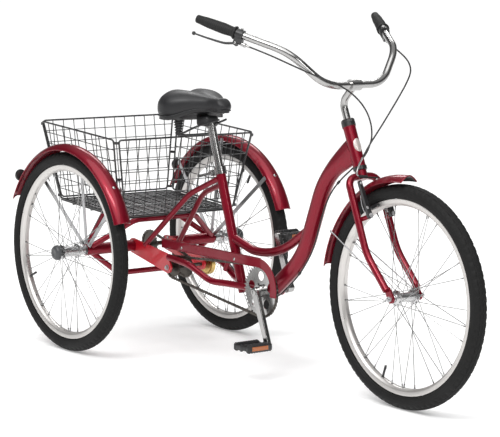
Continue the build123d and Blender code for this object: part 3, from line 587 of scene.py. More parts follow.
def flange_hub(bm, low, flange_y, high, barrel, end):
    """Turned hub with waisted barrel and two drilled-look flanges, along Y at the origin."""
    lathe(bm, Vector(), Y_WAY, [
        (low, 0), (low, end - 1), (low + 1, end), (-flange_y - 7, end),
        (-flange_y - 3, barrel + 2), (-flange_y - 1.6, 22.6), (-flange_y - 1.2, 24),
        (-flange_y + 1.2, 24), (-flange_y + 1.6, 22.6), (-flange_y + 4, barrel + 1.5),
        (-flange_y + 12, barrel), (flange_y - 12, barrel), (flange_y - 4, barrel + 1.5),
        (flange_y - 1.6, 22.6), (flange_y - 1.2, 24), (flange_y + 1.2, 24),
        (flange_y + 1.6, 22.6), (flange_y + 3, barrel + 2), (flange_y + 7, end),
        (high - 1, end), (high, end - 1), (high, 0)], 56)


def valve(bm, angle):
    foot = polar(Vector(), angle, (RIM_IN - 0.5) * MM)
    way = (-foot).normalized()
    lathe(bm, foot, way, [(-2, 0), (-2, 4.2), (4, 4.2), (6, 3.6), (24, 3.5), (24, 2.6), (25, 2.6),
                          (25, 3.9), (37, 3.9), (38, 3.0), (38, 0)], 16)


def moved(bm, offset):
    """The same mesh, shifted."""
    bmesh.ops.translate(bm, verts=bm.verts, vec=offset)
    return bm


def wheel(name, centre, body, flange_y, hub_ends, valve_angle):
    """Tyre, rim, spokes, hub and valve of one wheel."""
    low, high = hub_ends
    piece(f"{name}_tyre_tread", moved(tyre_mesh(), centre), tyre_rubber, body,
          [f"{name}_tyre"], smooth=32)
    bm = bmesh.new()
    lathe(bm, Vector(), Y_WAY, rim_outline(), 216, closed=True)
    piece(f"{name}_rim_alloy", moved(bm, centre), rim_alloy, body,
          [f"{name}_rim"], smooth=50)
    piece(f"{name}_spokes", moved(spokes_mesh(flange_y), centre), spoke_steel, body)
    bm = bmesh.new()
    flange_hub(bm, low, flange_y, high, 14 if name == "front" else 17,
               11 if name == "front" else 15)
    piece(f"{name}_hub_shell", moved(bm, centre), hub_steel, body, [f"{name}_hub"])
    bm = bmesh.new()
    valve(bm, valve_angle)
    piece(f"{name}_valve", moved(bm, centre), black_plastic, body)


wheel("front", front_hub, "front_wheel", 34.0, (-48, 48), 250)
wheel("right", right_hub, "right_wheel", 30.0, (-44, 57), 205)
wheel("left", left_hub, "drive_axle", 30.0, (-57, 44), 60)

CAP_OUTLINE = [(0, 0), (0, 25), (3, 25), (3.6, 24), (9, 23.4), (13, 20.5), (15.2, 16), (16, 10),
               (15.3, 8.5), (15.3, 0)]
for centre, side, body, name in ((right_hub, -1, "right_wheel", "right"),
                                 (left_hub, 1, "drive_axle", "left")):
    bm = bmesh.new()
    lathe(bm, centre + Y_WAY * side * 44.1 * MM, Y_WAY * side, CAP_OUTLINE, 64)
    piece(f"{name}_hub_cap", bm, cap_plastic, body)

# ---- fenders -------------------------------------------------------------------------------
FENDER_R = 357.0
FENDER_HALF = 31.0
FENDER_LIP = 19.0
REAR_FENDER = (22, 132)         # start and sweep, in degrees
FRONT_FENDER = (89, 82)
STAY_ANGLES = (42, 88, 135)
STAY_Y = 259.0


def arc_points(centre, start, sweep_arc, radius, y, steps=72):
    """Points of an arc round a wheel's axis, from an angle and over a sweep in degrees."""
    return [polar(centre, start + sweep_arc * i / steps, radius * MM, y * MM)
            for i in range(steps + 1)]


def fender_edges(name, centre, start, sweep_arc, body):
    """Rolled lip all round a fender's sheet."""
    low = FENDER_R - FENDER_LIP - 0.2
    right = arc_points(centre, start, sweep_arc, low, -FENDER_HALF + 0.8)
    left = arc_points(centre, start, sweep_arc, low, FENDER_HALF - 0.8)

    def end_line(angle):
        steps = 14
        return [polar(centre, angle, (low + (FENDER_LIP - 0.6) * math.cos(math.pi / 2 * t)) * MM,
                      (FENDER_HALF - 0.8) * t * MM)
                for t in (-1 + 2 * i / steps for i in range(1, steps))]

    loop = right + end_line(start + sweep_arc) + list(reversed(left)) \
        + list(reversed(end_line(start)))
    bm = bmesh.new()
    tube(bm, loop, 1.9 * MM, 10, closed=True)
    piece(f"{name}_fender_lip", bm, red_paint, body)


def fender_bolts(name, centre, angles, body):
    bm = bmesh.new()
    for angle in angles:
        way = polar(Vector(), angle, 1.0)
        dome_head(bm, centre + way * (FENDER_R - 0.2) * MM, way, 5.4, 3.2)
    piece(f"{name}_fender_bolts", bm, chrome, body)


for name, centre in (("right", right_hub), ("left", left_hub)):
    fender_edges(name, centre, *REAR_FENDER, "frame")
    fender_bolts(name, centre, STAY_ANGLES, "frame")
fender_edges("front", front_hub, *FRONT_FENDER, "steering")
fender_bolts("front", front_hub, (112, 158), "steering")

bm = bmesh.new()
for side in (-1, 1):
    for angle in STAY_ANGLES:
        way = polar(Vector(), angle, 1.0)
        foot = rear_mid + way * 30 * MM + Y_WAY * side * STAY_Y * MM
        hex_head(bm, foot + Y_WAY * side * 2.5 * MM, Y_WAY * side, 8, 4.5, 7)
piece("fender_stay_bolts", bm, zinc, "frame")


def front_fender_layer(start, arc, outer, inner, steps):
    """A layer of the front fender between two depths under its outer face."""
    bm = bmesh.new()
    ribs = 24
    rings = []
    for i in range(steps + 1):
        angle = start + arc * i / steps
        ring = []
        for depth in (outer, inner):
            for k in range(ribs + 1):
                t = -1 + 2 * k / ribs
                t = t if depth == outer else -t
                r = FENDER_R - FENDER_LIP * (1 - math.cos(t * math.pi / 2) ** 0.9) - depth
                ring.append(bm.verts.new(polar(front_hub, angle, r * MM,
                                               t * (FENDER_HALF - depth * abs(t) ** 4) * MM)))
        rings.append(ring)
    count = len(rings[0])
    skin(bm, rings)
    for ring, flip in ((rings[0], 1), (rings[-1], -1)):
        for k in range(ribs):
            bm.faces.new((ring[k], ring[k + 1], ring[count - 2 - k], ring[count - 1 - k])[::flip])
    return bm


piece("front_fender_sheet", front_fender_layer(*FRONT_FENDER, 0.0, 1.2, 72), red_paint,
      "steering", ["front_fender"], smooth=45)
# Painted shade: a black sheet just under the fender's inner face at its open front end, standing in
# for the shade of its underside there
piece("front_fender_painted_shade_tip", front_fender_layer(89.1, 9, 1.25, 2.4, 12), black_plastic,
      "steering", smooth=45)
bm = bmesh.new()
for side in (-1, 1):
    foot = front_hub + Vector((-6, side * 46.5, 14)) * MM
    top = front_hub + Vector((-301, side * 30.5, 160)) * MM
    tube(bm, [foot, foot.lerp(top, 0.5), top], 2 * MM, 12)
    lathe(bm, foot + Y_WAY * side * -1.6 * MM, Y_WAY * side, [(0, 0), (0, 6), (3, 6), (3, 0)], 20)
    dome_head(bm, top + Y_WAY * side * 1.0 * MM, Y_WAY * side, 5, 3)
piece("front_fender_stays", bm, zinc, "steering")

# ---- round rear reflectors -----------------------------------------------------------------
for centre, name in ((right_hub, "right"), (left_hub, "left")):
    way = polar(Vector(), 143, 1.0)
    seat = centre + way * 358 * MM
    body_end = seat + Vector((-14, 0, 10)) * MM
    bm = bmesh.new()
    tube(bm, [seat - way * 3 * MM, seat, body_end], 4 * MM, 14)
    lathe(bm, body_end, -X_WAY, [(-3, 0), (-3, 14), (0, 19.4), (6, 20), (8.4, 20), (8.4, 18.4),
                                 (6, 18), (6, 0)], 56)
    piece(f"{name}_reflector_body", bm, black_plastic, "frame")
    bm = bmesh.new()
    face = body_end - X_WAY * 6.4 * MM
    rows = 9
    cell = 34 / rows
    lathe(bm, face, -X_WAY, [(0, 0), (0, 18), (1.2, 17.8), (2.2, 15.5), (2.2, 0)], 56)
    for i in range(rows):
        for k in range(rows):
            y, z = (i - (rows - 1) / 2) * cell, (k - (rows - 1) / 2) * cell
            if math.hypot(y, z) < 13.5:
                lathe(bm, face + Vector((-2.1, y, z)) * MM, -X_WAY,
                      [(0, cell * 0.62), (1.1, 0)], 6)
    piece(f"{name}_reflector_lens", bm, red_lens, "frame",
          ["rear_reflectors"] if name == "right" else (), smooth=12)

# ---- basket --------------------------------------------------------------------------------
BASKET_MID = (-21.0, 0, 464.0)
BASKET_TILT = 3.87
BASKET_FLOOR = (384.0, 464.0)
BASKET_TOP = (460.0, 564.0)
BASKET_TOP_BACK = 18.0
BASKET_HEIGHT = 266.0
CORNER_GAP = 10.0
THIN_WIRE = 1.5
FRAME_WIRE = 3.0
WIRE_PITCHES = (43, 37)         # between uprights, and between level wires
tilt = math.radians(BASKET_TILT)
basket_ahead = Vector((math.cos(tilt), 0, -math.sin(tilt)))
basket_up = Vector((math.sin(tilt), 0, math.cos(tilt)))


def in_basket(x, y, z):
    """A point in the tilted basket, in millimetres from the middle of its floor."""
    return at(*BASKET_MID) + (basket_ahead * x + Y_WAY * y + basket_up * z) * MM


def wire_panel(name, foot_mid, top_mid, low, high, way, upright, level):
    """Welded wire panel: a bent frame wire, and thin uprights and level wires inside it."""
    rise = top_mid - foot_mid
    height = rise.length / MM
    up = rise.normalized()
    out = way.cross(up).normalized()

    def on_panel(x, z, off=0.0):
        return foot_mid + (way * x + up * z + out * off) * MM

    bm = bmesh.new()
    bend = 12.0
    inset = FRAME_WIRE
    corners = [(-low + inset, inset), (low - inset, inset), (high - inset, height - inset),
               (-high + inset, height - inset)]
    loop = []
    for i, (x, z) in enumerate(corners):
        here = Vector((x, z))
        before = Vector(corners[i - 1])
        after = Vector(corners[(i + 1) % 4])
        a = here + (before - here).normalized() * bend
        b = here + (after - here).normalized() * bend
        for step in range(7):
            t = step / 6
            p = a * (1 - t) ** 2 + here * 2 * t * (1 - t) + b * t ** 2
            loop.append(on_panel(p.x, p.y))
    tube(bm, loop, FRAME_WIRE * MM, 12, closed=True)
    count = round(2 * high / upright)
    for i in range(1, count):
        x = -high + i * 2 * high / count
        foot = 0.0 if abs(x) < low - 6 else height * (abs(x) - low + 6) / (high - low)
        tube(bm, [on_panel(x, foot + inset, THIN_WIRE), on_panel(x, height - inset, THIN_WIRE)],
             THIN_WIRE * MM, 8)
    rows = round(height / level)
    for i in range(1, rows):
        z = i * height / rows
        half = low + (high - low) * z / height - inset
        tube(bm, [on_panel(-half, z, -THIN_WIRE), on_panel(half, z, -THIN_WIRE)],
             THIN_WIRE * MM, 8)
    return piece(f"{name}_wires", bm, black_metal, "frame", [name])


floor_long, floor_wide = BASKET_FLOOR
top_long, top_wide = BASKET_TOP
for end, name in ((1, "basket_front_panel"), (-1, "basket_rear_panel")):
    wire_panel(name, in_basket(end * floor_long / 2, 0, 4),
               in_basket(end * top_long / 2 - BASKET_TOP_BACK, 0, BASKET_HEIGHT),
               floor_wide / 2 - CORNER_GAP, top_wide / 2 - CORNER_GAP, Y_WAY * end, *WIRE_PITCHES)
for side, name in ((-1, "basket_right_panel"), (1, "basket_left_panel")):
    wire_panel(name, in_basket(0, side * floor_wide / 2, 4),
               in_basket(-BASKET_TOP_BACK, side * top_wide / 2, BASKET_HEIGHT),
               floor_long / 2 - CORNER_GAP, top_long / 2 - CORNER_GAP,
               basket_ahead * -side, *WIRE_PITCHES)

bm = bmesh.new()
half_long, half_wide = floor_long / 2 - 5, floor_wide / 2 - 5
loop = []
for cx, cy, start in ((1, 1, 0), (-1, 1, 90), (-1, -1, 180), (1, -1, 270)):
    for step in range(7):
        a = math.radians(start + step * 15)
        loop.append(in_basket(cx * (half_long - 14) + 14 * math.cos(a),
                              cy * (half_wide - 14) + 14 * math.sin(a), 0))
tube(bm, loop, FRAME_WIRE * MM, 12, closed=True)
for i in range(1, 11):
    y = -half_wide + i * 2 * half_wide / 11
    tube(bm, [in_basket(-half_long, y, 1.6), in_basket(half_long, y, 1.6)], THIN_WIRE * MM, 8)
for i in range(1, 20):
    x = -half_long + i * 2 * half_long / 20
    tube(bm, [in_basket(x, -half_wide, -1.4), in_basket(x, half_wide, -1.4)], 2.0 * MM, 8)
for x in (-110, 0, 110):
    tube(bm, [in_basket(x, -half_wide, -5), in_basket(x, half_wide, -5)], 2.6 * MM, 10)
piece("basket_floor_wires", bm, black_metal, "frame", ["basket_floor"])

bm = bmesh.new()
for cx in (-1, 1):
    for cy in (-1, 1):
        for z in (14, 132, BASKET_HEIGHT - 12):
            share = z / BASKET_HEIGHT
            x = cx * (floor_long + (top_long - floor_long) * share) / 2 - BASKET_TOP_BACK * share
            y = cy * (floor_wide + (top_wide - floor_wide) * share) / 2
            a = in_basket(x - cx * 1, y - cy * 13, z)
            b = in_basket(x - cx * 13, y - cy * 1, z)
            corner = in_basket(x + cx * 1.5, y + cy * 1.5, z)
            sweep(bm, [a, a.lerp(corner, 0.6), b.lerp(corner, 0.6), b],
                  oval_section(9 * MM, 2.4 * MM, 12, 4), side=basket_up)
piece("basket_corner_clips", bm, black_metal, "frame")

# ---- chains --------------------------------------------------------------------------------
CHAIN_PITCH = 12.7
RING_TEETH = 40
JACK_TEETH = 18
AXLE_TEETH = 22
CHAIN_LINE = -48.0


def pitch_radius(teeth):
    return CHAIN_PITCH / (2 * math.sin(math.pi / teeth))


def chain_pins(a, a_teeth, b, b_teeth, y):
    """Evenly spaced pins of a chain round two sprockets, and how many there are."""
    ra, rb = pitch_radius(a_teeth) * MM, pitch_radius(b_teeth) * MM
    gap = math.hypot(b.x - a.x, b.z - a.z)
    turn = math.atan2(b.z - a.z, b.x - a.x)
    lean = math.acos((ra - rb) / gap)
    run = math.sqrt(gap ** 2 - (ra - rb) ** 2)
    arc_b, arc_a = rb * 2 * lean, ra * (2 * math.pi - 2 * lean)
    total = 2 * run + arc_a + arc_b
    count = 2 * round(total / (2 * CHAIN_PITCH * MM))

    def round_a(centre, radius, angle):
        return Vector((centre.x + radius * math.cos(angle), y * MM,
                       centre.z + radius * math.sin(angle)))

    pins = []
    for i in range(count):
        s = total * i / count
        if s < run:
            pins.append(round_a(a, ra, turn + lean).lerp(round_a(b, rb, turn + lean), s / run))
        elif s < run + arc_b:
            pins.append(round_a(b, rb, turn + lean - (s - run) / rb))
        elif s < 2 * run + arc_b:
            share = (s - run - arc_b) / run
            pins.append(round_a(b, rb, turn - lean).lerp(round_a(a, ra, turn - lean), share))
        else:
            pins.append(round_a(a, ra, turn - lean - (s - 2 * run - arc_b) / ra))
    return pins


def link_plate(bm, start, end, offset):
    """One waisted side plate between two pins."""
    way = (end - start).normalized()
    up = way.cross(Y_WAY)
    outline = []
    for centre, first in ((end, -90), (start, 90)):
        for step in range(9):
            a = math.radians(first + step * 22.5)
            outline.append(centre + (way * math.cos(a) + up * math.sin(a)) * 4.1 * MM)
        waist = 1 if first < 0 else -1
        outline.append((start + end) / 2 + up * 3.0 * waist * MM)
    near = [bm.verts.new(p + Y_WAY * (offset - 0.45) * MM) for p in outline]
    far = [bm.verts.new(p + Y_WAY * (offset + 0.45) * MM) for p in outline]
    end_caps(bm, near, far)
    join_rings(bm, near, far)


def chain_mesh(bm, pins):
    """Narrow and wide links in turn, with a roller and a pin at each joint."""
    for i, pin in enumerate(pins):
        after = pins[(i + 1) % len(pins)]
        reach = 2.05 if i % 2 else 3.1
        for side in (-1, 1):
            link_plate(bm, pin, after, side * reach)
        lathe(bm, pin - Y_WAY * 1.6 * MM, Y_WAY, [(0, 3.85), (3.2, 3.85)], 14)
        lathe(bm, pin - Y_WAY * 3.9 * MM, Y_WAY, [(0, 1.0), (0.3, 1.8), (7.5, 1.8), (7.8, 1.0)], 10)


bm = bmesh.new()
chain_mesh(bm, chain_pins(crank_axis, RING_TEETH, jack_axis, JACK_TEETH, CHAIN_LINE))
chain_mesh(bm, chain_pins(jack_axis, JACK_TEETH, rear_mid, AXLE_TEETH, 0))
piece("chain_links", bm, chain_steel, "frame", ["chains"], smooth=30)

# ---- chain guard trim ----------------------------------------------------------------------
GUARD_Y = -56.8
GUARD_HALF = 14.5
GUARD_KNEE = (672.0, 279.0)
GUARD_BEND = 76.5


def guard_edge(radius):
    """An edge of the chain guard: along the top and down round its front."""
    knee_x, knee_z = GUARD_KNEE
    points = [at(150, GUARD_Y, knee_z + radius), at(400, GUARD_Y, knee_z + radius)]
    points += [at(knee_x + radius * math.sin(a), GUARD_Y, knee_z + radius * math.cos(a))
               for a in (math.pi / 2 * i / 16 for i in range(17))]
    return points + [at(knee_x + radius, GUARD_Y, 256)]


bm = bmesh.new()
outer, inner = guard_edge(GUARD_BEND + GUARD_HALF - 1), guard_edge(GUARD_BEND - GUARD_HALF + 1)
tube(bm, outer + list(reversed(inner)), 1.8 * MM, 10, closed=True)
piece("chain_guard_lip", bm, red_paint, "frame")
bm = bmesh.new()
for x, z in ((262, 352), (548, 352)):
    dome_head(bm, at(x, GUARD_Y - 0.8, z), -Y_WAY, 5, 3)
piece("chain_guard_screws", bm, chrome, "frame")

# ---- cranks and pedals ---------------------------------------------------------------------
CRANK_OUT = 77.0
bm = bmesh.new()
for side in (-1, 1):
    lathe(bm, crank_axis + Y_WAY * side * (CRANK_OUT - 0.1) * MM, Y_WAY * side,
          [(0, 0), (0, 11.5), (1.6, 11.5), (2.4, 10.4), (2.4, 4.6), (1.2, 4.2), (1.2, 0)], 40)
piece("crank_caps", bm, chrome, "cranks")
bm = bmesh.new()
for i in range(5):
    a = math.radians(54 + 72 * i)
    foot = crank_axis + Vector((24 * math.cos(a), 0, 24 * math.sin(a))) * MM
    hex_head(bm, foot + Y_WAY * (CHAIN_LINE - 1.1) * MM, -Y_WAY, 8, 3)
piece("chainring_bolts", bm, chrome, "cranks")


def pedal_pieces(name, centre, side):
    """Cage, teeth, axle barrel and reflectors of one pedal."""
    inner = 80.0
    mid = centre.copy()
    mid.y = side * (inner + 48) * MM
    bm = bmesh.new()
    lathe(bm, Vector((mid.x, side * (inner + 1) * MM, mid.z)), Y_WAY * side,
          [(0, 0), (0, 11), (3, 11), (6, 9), (46, 8.4), (86, 9), (90, 11), (93, 11), (95, 8),
           (95, 0)], 32)
    for end in (-1, 1):
        rail = mid + X_WAY * end * 31.5 * MM
        rounded_box(bm, rail, (12, 94, 20), edge=2.2)
        for k in range(9):
            for up in (-1, 1):
                lug = rail + Vector((0, (k - 4) * 10, up * 11)) * MM
                rounded_box(bm, lug, (11, 5.6, 3.6), edge=0.9, steps=1)
    for y in (-44, -15, 15, 44):
        rounded_box(bm, mid + Y_WAY * y * MM, (56, 5, 13), edge=1.2)
    piece(f"{name}_pedal_block", bm, black_plastic, f"{name}_pedal",
          [f"{name}_pedal"])
    bm = bmesh.new()
    for end in (-1, 1):
        face = mid + X_WAY * end * 37.4 * MM
        rounded_box(bm, face, (2.2, 62, 13), edge=0.7)
        for i in range(14):
            for k in range(3):
                point = face + Vector((end * 1.0, (i - 6.5) * 4.2, (k - 1) * 4.0)) * MM
                lathe(bm, point, X_WAY * end, [(0, 2.2), (0.8, 0)], 4)
    piece(f"{name}_pedal_reflectors", bm, amber_lens, f"{name}_pedal",
          smooth=12)


pedal_pieces("right", joint_point("right_pedal_spin"), -1)
pedal_pieces("left", joint_point("left_pedal_spin"), 1)

# ---- bar, grips and brake levers -----------------------------------------------------------
bar_tip = at(742, -346, 1121)
bar_knee = at(1000, -206, 1030)
LEVER_AT = 141.0
PIVOT_OUT = 29.0
bar_in = (bar_knee - bar_tip).normalized()
lever_out = Vector((0.45, 0, -0.89))
lever_out = (lever_out - bar_in * lever_out.dot(bar_in)).normalized()
pivot_way = bar_in.cross(lever_out)


def right_side(along, out=0.0, over=0.0):
    """Point on the right of the bar, in millimetres along it, out to the lever and over."""
    return bar_tip + (bar_in * along + lever_out * out + pivot_way * over) * MM


def on_both(make, name, finish, bodies, nodes=((), ())):
    """Make a right-hand piece, and its mirror image on the left."""
    for side, side_name, body, stood_for in zip((-1, 1), ("right", "left"), bodies, nodes):
        bm = make()
        if side > 0:
            bmesh.ops.scale(bm, vec=(1, -1, 1), verts=bm.verts)
        piece(f"{side_name}_{name}", bm, finish, body, stood_for)


def grip_mesh():
    bm = bmesh.new()
    outline = [(-4, 0), (-4, 8.5), (-3.4, 10.6), (-1.5, 12.2)]
    along = 1.0
    while along < 118:
        share = along / 118
        swell = 0.7 * math.sin(math.pi * share * 2) ** 2
        groove = 0.85 if int(along / 1.5) % 4 == 3 else 0.0
        body = 12.6 + 3.6 * ease(share / 0.55) - 0.9 * ease((share - 0.7) / 0.3)
        outline.append((along, body + swell - groove))
        along += 0.75
    outline += [(119, 15.6), (122, 16.4), (124.5, 19.4), (126, 20), (128.6, 20), (130, 18.8),
                (130, 11.2)]
    lathe(bm, right_side(0), bar_in, outline, 40)
    for k in range(20):
        a = 2 * math.pi * k / 20
        way = lever_out * math.cos(a) + pivot_way * math.sin(a)
        foot = right_side(-3.6) + way * 6.0 * MM
        lathe(bm, foot, -bar_in, [(0, 1.0), (1.2, 0.6), (1.2, 0)], 6)
    return bm


on_both(grip_mesh, "grip_sleeve", grip_rubber, ("steering",) * 2,
        (["grips"], ()))


def blade_mesh():
    bm = bmesh.new()
    route = smooth_line([right_side(LEVER_AT - back, PIVOT_OUT + out) for back, out in (
        (2, 0), (16, 5), (34, 11.5), (70, 13.5), (105, 15), (136, 15))])
    sizes = []
    for i in range(len(route)):
        t = i / (len(route) - 1)
        sizes.append(1.0 - 0.28 * t + 0.10 * math.sin(math.pi * t))
    sweep(bm, route, oval_section(11.5 * MM, 6.6 * MM, 20, 3.0), side=pivot_way, sizes=sizes)
    ball = right_side(LEVER_AT - 136, PIVOT_OUT + 15)
    arc = [(6.0 * math.sin(a), 6.0 * math.cos(a))
           for a in (-math.pi / 2 + math.pi * i / 12 for i in range(13))]
    lathe(bm, ball, bar_in, [(x, max(r, 0.0)) for x, r in arc], 24)
    lathe(bm, right_side(LEVER_AT, PIVOT_OUT, -4), pivot_way,
          [(0, 0), (0, 6.5), (1, 7), (7, 7), (8, 6.5), (8, 0)], 28)
    return bm


on_both(blade_mesh, "brake_blade", black_plastic,
        ("rear_brake_lever", "front_brake_lever"), (["rear_brake_lever"], ["front_brake_lever"]))


def lever_trim():
    bm = bmesh.new()
    hex_head(bm, right_side(LEVER_AT + 3, -15.3, 0), -lever_out, 6, 3.4, 5)
    for side in (-1, 1):
        dome_head(bm, right_side(LEVER_AT, PIVOT_OUT, side * 8.4), pivot_way * side, 4.2, 2.2)
    barrel = right_side(LEVER_AT + 17, PIVOT_OUT - 4)
    lathe(bm, barrel, bar_in, [(0, 5.4), (1, 6.2), (5, 6.2), (6, 5.4), (7, 5.4), (8, 6.4),
                               (14, 6.4), (15, 5.2), (17.4, 4.7), (17.4, 2.5)], 12)
    return bm


on_both(lever_trim, "lever_trim", chrome, ("steering",) * 2)

bm = bmesh.new()
lathe(bm, on_head(146.6), steer_up, [(0, 17.5), (0, 20.3), (1, 20.6), (8.2, 20.6), (9.6, 18.6),
                                     (9.6, 12.0)], 8)
lathe(bm, on_head(145.2), steer_up, [(0, 13), (0, 20.8), (1.4, 20.8), (1.4, 13)], 40)
piece("headset_locknut", bm, black_metal, "steering", smooth=25)
bm = bmesh.new()
for foot in (on_head(8.0), on_head(133.0)):
    lathe(bm, foot, steer_up, [(-1.2, 19.05), (-1.2, 20.4), (-0.4, 20.9), (0.6, 20.9),
                               (1.4, 20.2), (1.4, 19.0)], 48)
piece("head_tube_rings", bm, red_paint, "frame")


def badge_mesh():
    """Plain oval plate wrapped on the front of the head tube."""
    bm = bmesh.new()
    rings, spokes = 6, 40
    rows = []
    for i in range(rings + 1):
        share = i / rings
        rise = 1.5 * (1 - share ** 3) + (0.5 if 0.72 < share < 0.9 else 0)
        row = []
        for k in range(spokes):
            a = 2 * math.pi * k / spokes
            angle = share * 15.0 * math.cos(a) / 19.0
            up = share * 20.5 * math.sin(a)
            radius = 19.1 + rise
            row.append(bm.verts.new(on_head(71 + up, radius * math.cos(angle),
                                            radius * math.sin(angle))))
        rows.append(row)
    skin(bm, rows)
    bmesh.ops.remove_doubles(bm, verts=rows[0], dist=1e-6)
    return bm


piece("head_badge", badge_mesh(), badge_metal, "frame", smooth=60)

# ---- rim brake details ---------------------------------------------------------------------
brake_feet = {side: joint_point(name) for side, name in ((-1, "right_brake_arm_turn"),
                                                          (1, "left_brake_arm_turn"))}
for side, name in ((-1, "right"), (1, "left")):
    foot = brake_feet[side]
    bm = bmesh.new()
    hex_head(bm, foot + steer_ahead * 7.2 * MM, steer_ahead, 8, 3.6, 7)
    pad_nut = foot + (steer_up * 25 + Y_WAY * side * 1.5) * MM
    lathe(bm, pad_nut, Y_WAY * side, [(0, 0), (0, 6.5), (5, 6.5), (6.5, 5), (6.5, 0)], 24)
    top = foot + (steer_up * 100 + Y_WAY * side * 5 + steer_ahead * 5.2) * MM
    dome_head(bm, top, steer_ahead, 4, 3)
    piece(f"{name}_brake_bolts", bm, zinc, f"{name}_brake_arm")
    bm = bmesh.new()
    spring = [foot + (steer_ahead * a + steer_up * u + Y_WAY * side * y) * MM
              for a, u, y in ((-7, 6, 8), (-8, 26, 13), (-8, 48, 12), (-7.5, 66, 9))]
    tube(bm, smooth_line(spring), 1.0 * MM, 8)
    piece(f"{name}_brake_spring", bm, zinc, f"{name}_brake_arm")

# ---- saddle --------------------------------------------------------------------------------
SADDLE_REAR_X, SADDLE_WIDE_X, SADDLE_TIP_X = 151.0, 241.0, 431.0
SADDLE_HALF, NOSE_HALF = 120.0, 28.0


def saddle_half_width(x):
    """Half of the saddle's width at x, all in millimetres."""
    if x < SADDLE_WIDE_X:
        t = (SADDLE_WIDE_X - x) / (SADDLE_WIDE_X - SADDLE_REAR_X)
        return SADDLE_HALF * max(1 - t ** 2.6, 0.0) ** 0.5
    taper = SADDLE_HALF - (SADDLE_HALF - NOSE_HALF - 3) * ease((x - SADDLE_WIDE_X) / 132)
    nose = max((x - (SADDLE_TIP_X - NOSE_HALF)) / NOSE_HALF, 0.0)
    drop = 3 * ease((x - 330) / 90)
    return (taper - drop) * max(1 - nose ** 2.2, 0.0) ** 0.5


def saddle_top(x):
    return 868 - 22 * ease((215 - x) / 70) - 17 * ease((x - 255) / 120) - 5 * ease((x - 400) / 31)


def saddle_bottom(x):
    return 771 + 34 * ease((x - 255) / 85) + 6 * ease((175 - x) / 24)


def saddle_mesh():
    bm = bmesh.new()
    stations, sides = 60, 64
    rows = []
    for i in range(stations + 1):
        u = 0.5 - 0.5 * math.cos(math.pi * i / stations)
        x = SADDLE_REAR_X + (SADDLE_TIP_X - SADDLE_REAR_X) * u
        half = max(saddle_half_width(x), 0.5)
        end = min(x - SADDLE_REAR_X, SADDLE_TIP_X - x)
        full = min(1.0, max(end, 0.2) / 24) ** 0.5
        top, low = saddle_top(x), saddle_bottom(x)
        middle = low + (top - low) * 0.42
        row = []
        for k in range(sides):
            a = 2 * math.pi * k / sides
            c, s = math.cos(a), math.sin(a)
            y = half * math.copysign(abs(c) ** 0.72, c)
            if s >= 0:
                z = middle + (top - middle) * abs(s) ** 0.78 * full
                lobes = ease((320 - x) / 90)
                z -= 13 * lobes * math.exp(-(y / 19) ** 2) * s
                z += 4 * lobes * math.exp(-((abs(y) - 58) / 30) ** 2) * s
                z -= 5 * (1 - lobes) * math.exp(-(y / 9) ** 2) * s * ease((410 - x) / 30)
            else:
                z = middle - (middle - low) * abs(s) ** 0.6 * full
                y *= 1 - 0.10 * abs(s) ** 2
            row.append(bm.verts.new(at(x, y, z)))
        rows.append(row)
    skin(bm, rows)
    end_caps(bm, rows[0], rows[-1])
    return bm


saddle = as_object("saddle_cover", saddle_mesh(), saddle_vinyl, smooth=80)
rounding = saddle.modifiers.new("rounding", "SUBSURF")
rounding.levels = rounding.render_levels = 1
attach(saddle, "seat")
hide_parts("saddle")


def saddle_outline(share, inset, steps=60):
    """Closed loop round the saddle at a share of its height."""
    right = []
    for i in range(1, steps):
        u = 0.5 - 0.5 * math.cos(math.pi * i / steps)
        x = SADDLE_REAR_X + 0.8 + (SADDLE_TIP_X - SADDLE_REAR_X - 1.6) * u
        half = max(saddle_half_width(x) - inset, 0.0)
        z = saddle_bottom(x) + (saddle_top(x) - saddle_bottom(x)) * share
        right.append(at(x, -half, z))
    return right + [mirrored(p) for p in reversed(right)]


bm = bmesh.new()
tube(bm, saddle_outline(0.16, 2.6), 1.6 * MM, 8, closed=True)
piece("saddle_piping", bm, saddle_vinyl, "seat")
bm = bmesh.new()
outline = saddle_outline(0.06, 7)
low_ring = [bm.verts.new(p - Z_WAY * 3 * MM) for p in outline]
top_ring = [bm.verts.new(p + Z_WAY * 8 * MM) for p in outline]
join_rings(bm, low_ring, top_ring)
end_caps(bm, low_ring, top_ring)
piece("saddle_base", bm, black_plastic, "seat")

SPRING_X, SPRING_Y = 254.0, 66.0
bm = bmesh.new()
for side in (-1, 1):
    foot = at(SPRING_X, side * SPRING_Y, 727)
    tube(bm, helix(foot, Z_WAY, 5.6, 8.4, lambda share: 8.5 + 7 * share), 2.6 * MM, 10)
    lathe(bm, foot, Z_WAY, [(-1.5, 0), (-1.5, 9), (0.5, 11), (2.4, 11), (2.4, 0)], 32)
    lathe(bm, foot + Z_WAY * 46 * MM, Z_WAY, [(0, 0), (0, 17), (3, 18.5), (9, 18.5), (9, 0)], 32)
    tube(bm, smooth_line([at(SPRING_X - 6, side * SPRING_Y, 725), at(SPRING_X + 8, side * 61, 727),
                          at(284, side * 44, 742), at(322, side * 27, 760),
                          at(364, side * 20, 770), at(404, side * 14, 782)]), 3.4 * MM, 12)
hanger = smooth_line([at(SPRING_X, y, z) for y, z in ((-SPRING_Y, 724), (-34, 722), (34, 722),
                                                      (SPRING_Y, 724))])
tube(bm, hanger, 3.2 * MM, 12)
piece("saddle_springs_coiled", bm, black_metal, "seat", ["saddle_springs"])
bm = bmesh.new()
for side in (-1, 1):
    lathe(bm, at(SPRING_X, side * SPRING_Y, 729), Z_WAY,
          [(0, 0), (0, 6.5), (12, 8.5), (24, 10.5), (40, 13), (44, 13), (44, 0)], 28)
piece("saddle_elastomers", bm, elastomer, "seat")
bm = bmesh.new()
rounded_box(bm, at(322, 0, 772), (62, 50, 34), edge=9.0, steps=4)
piece("saddle_clamp_cover", bm, black_plastic, "seat")
bm = bmesh.new()
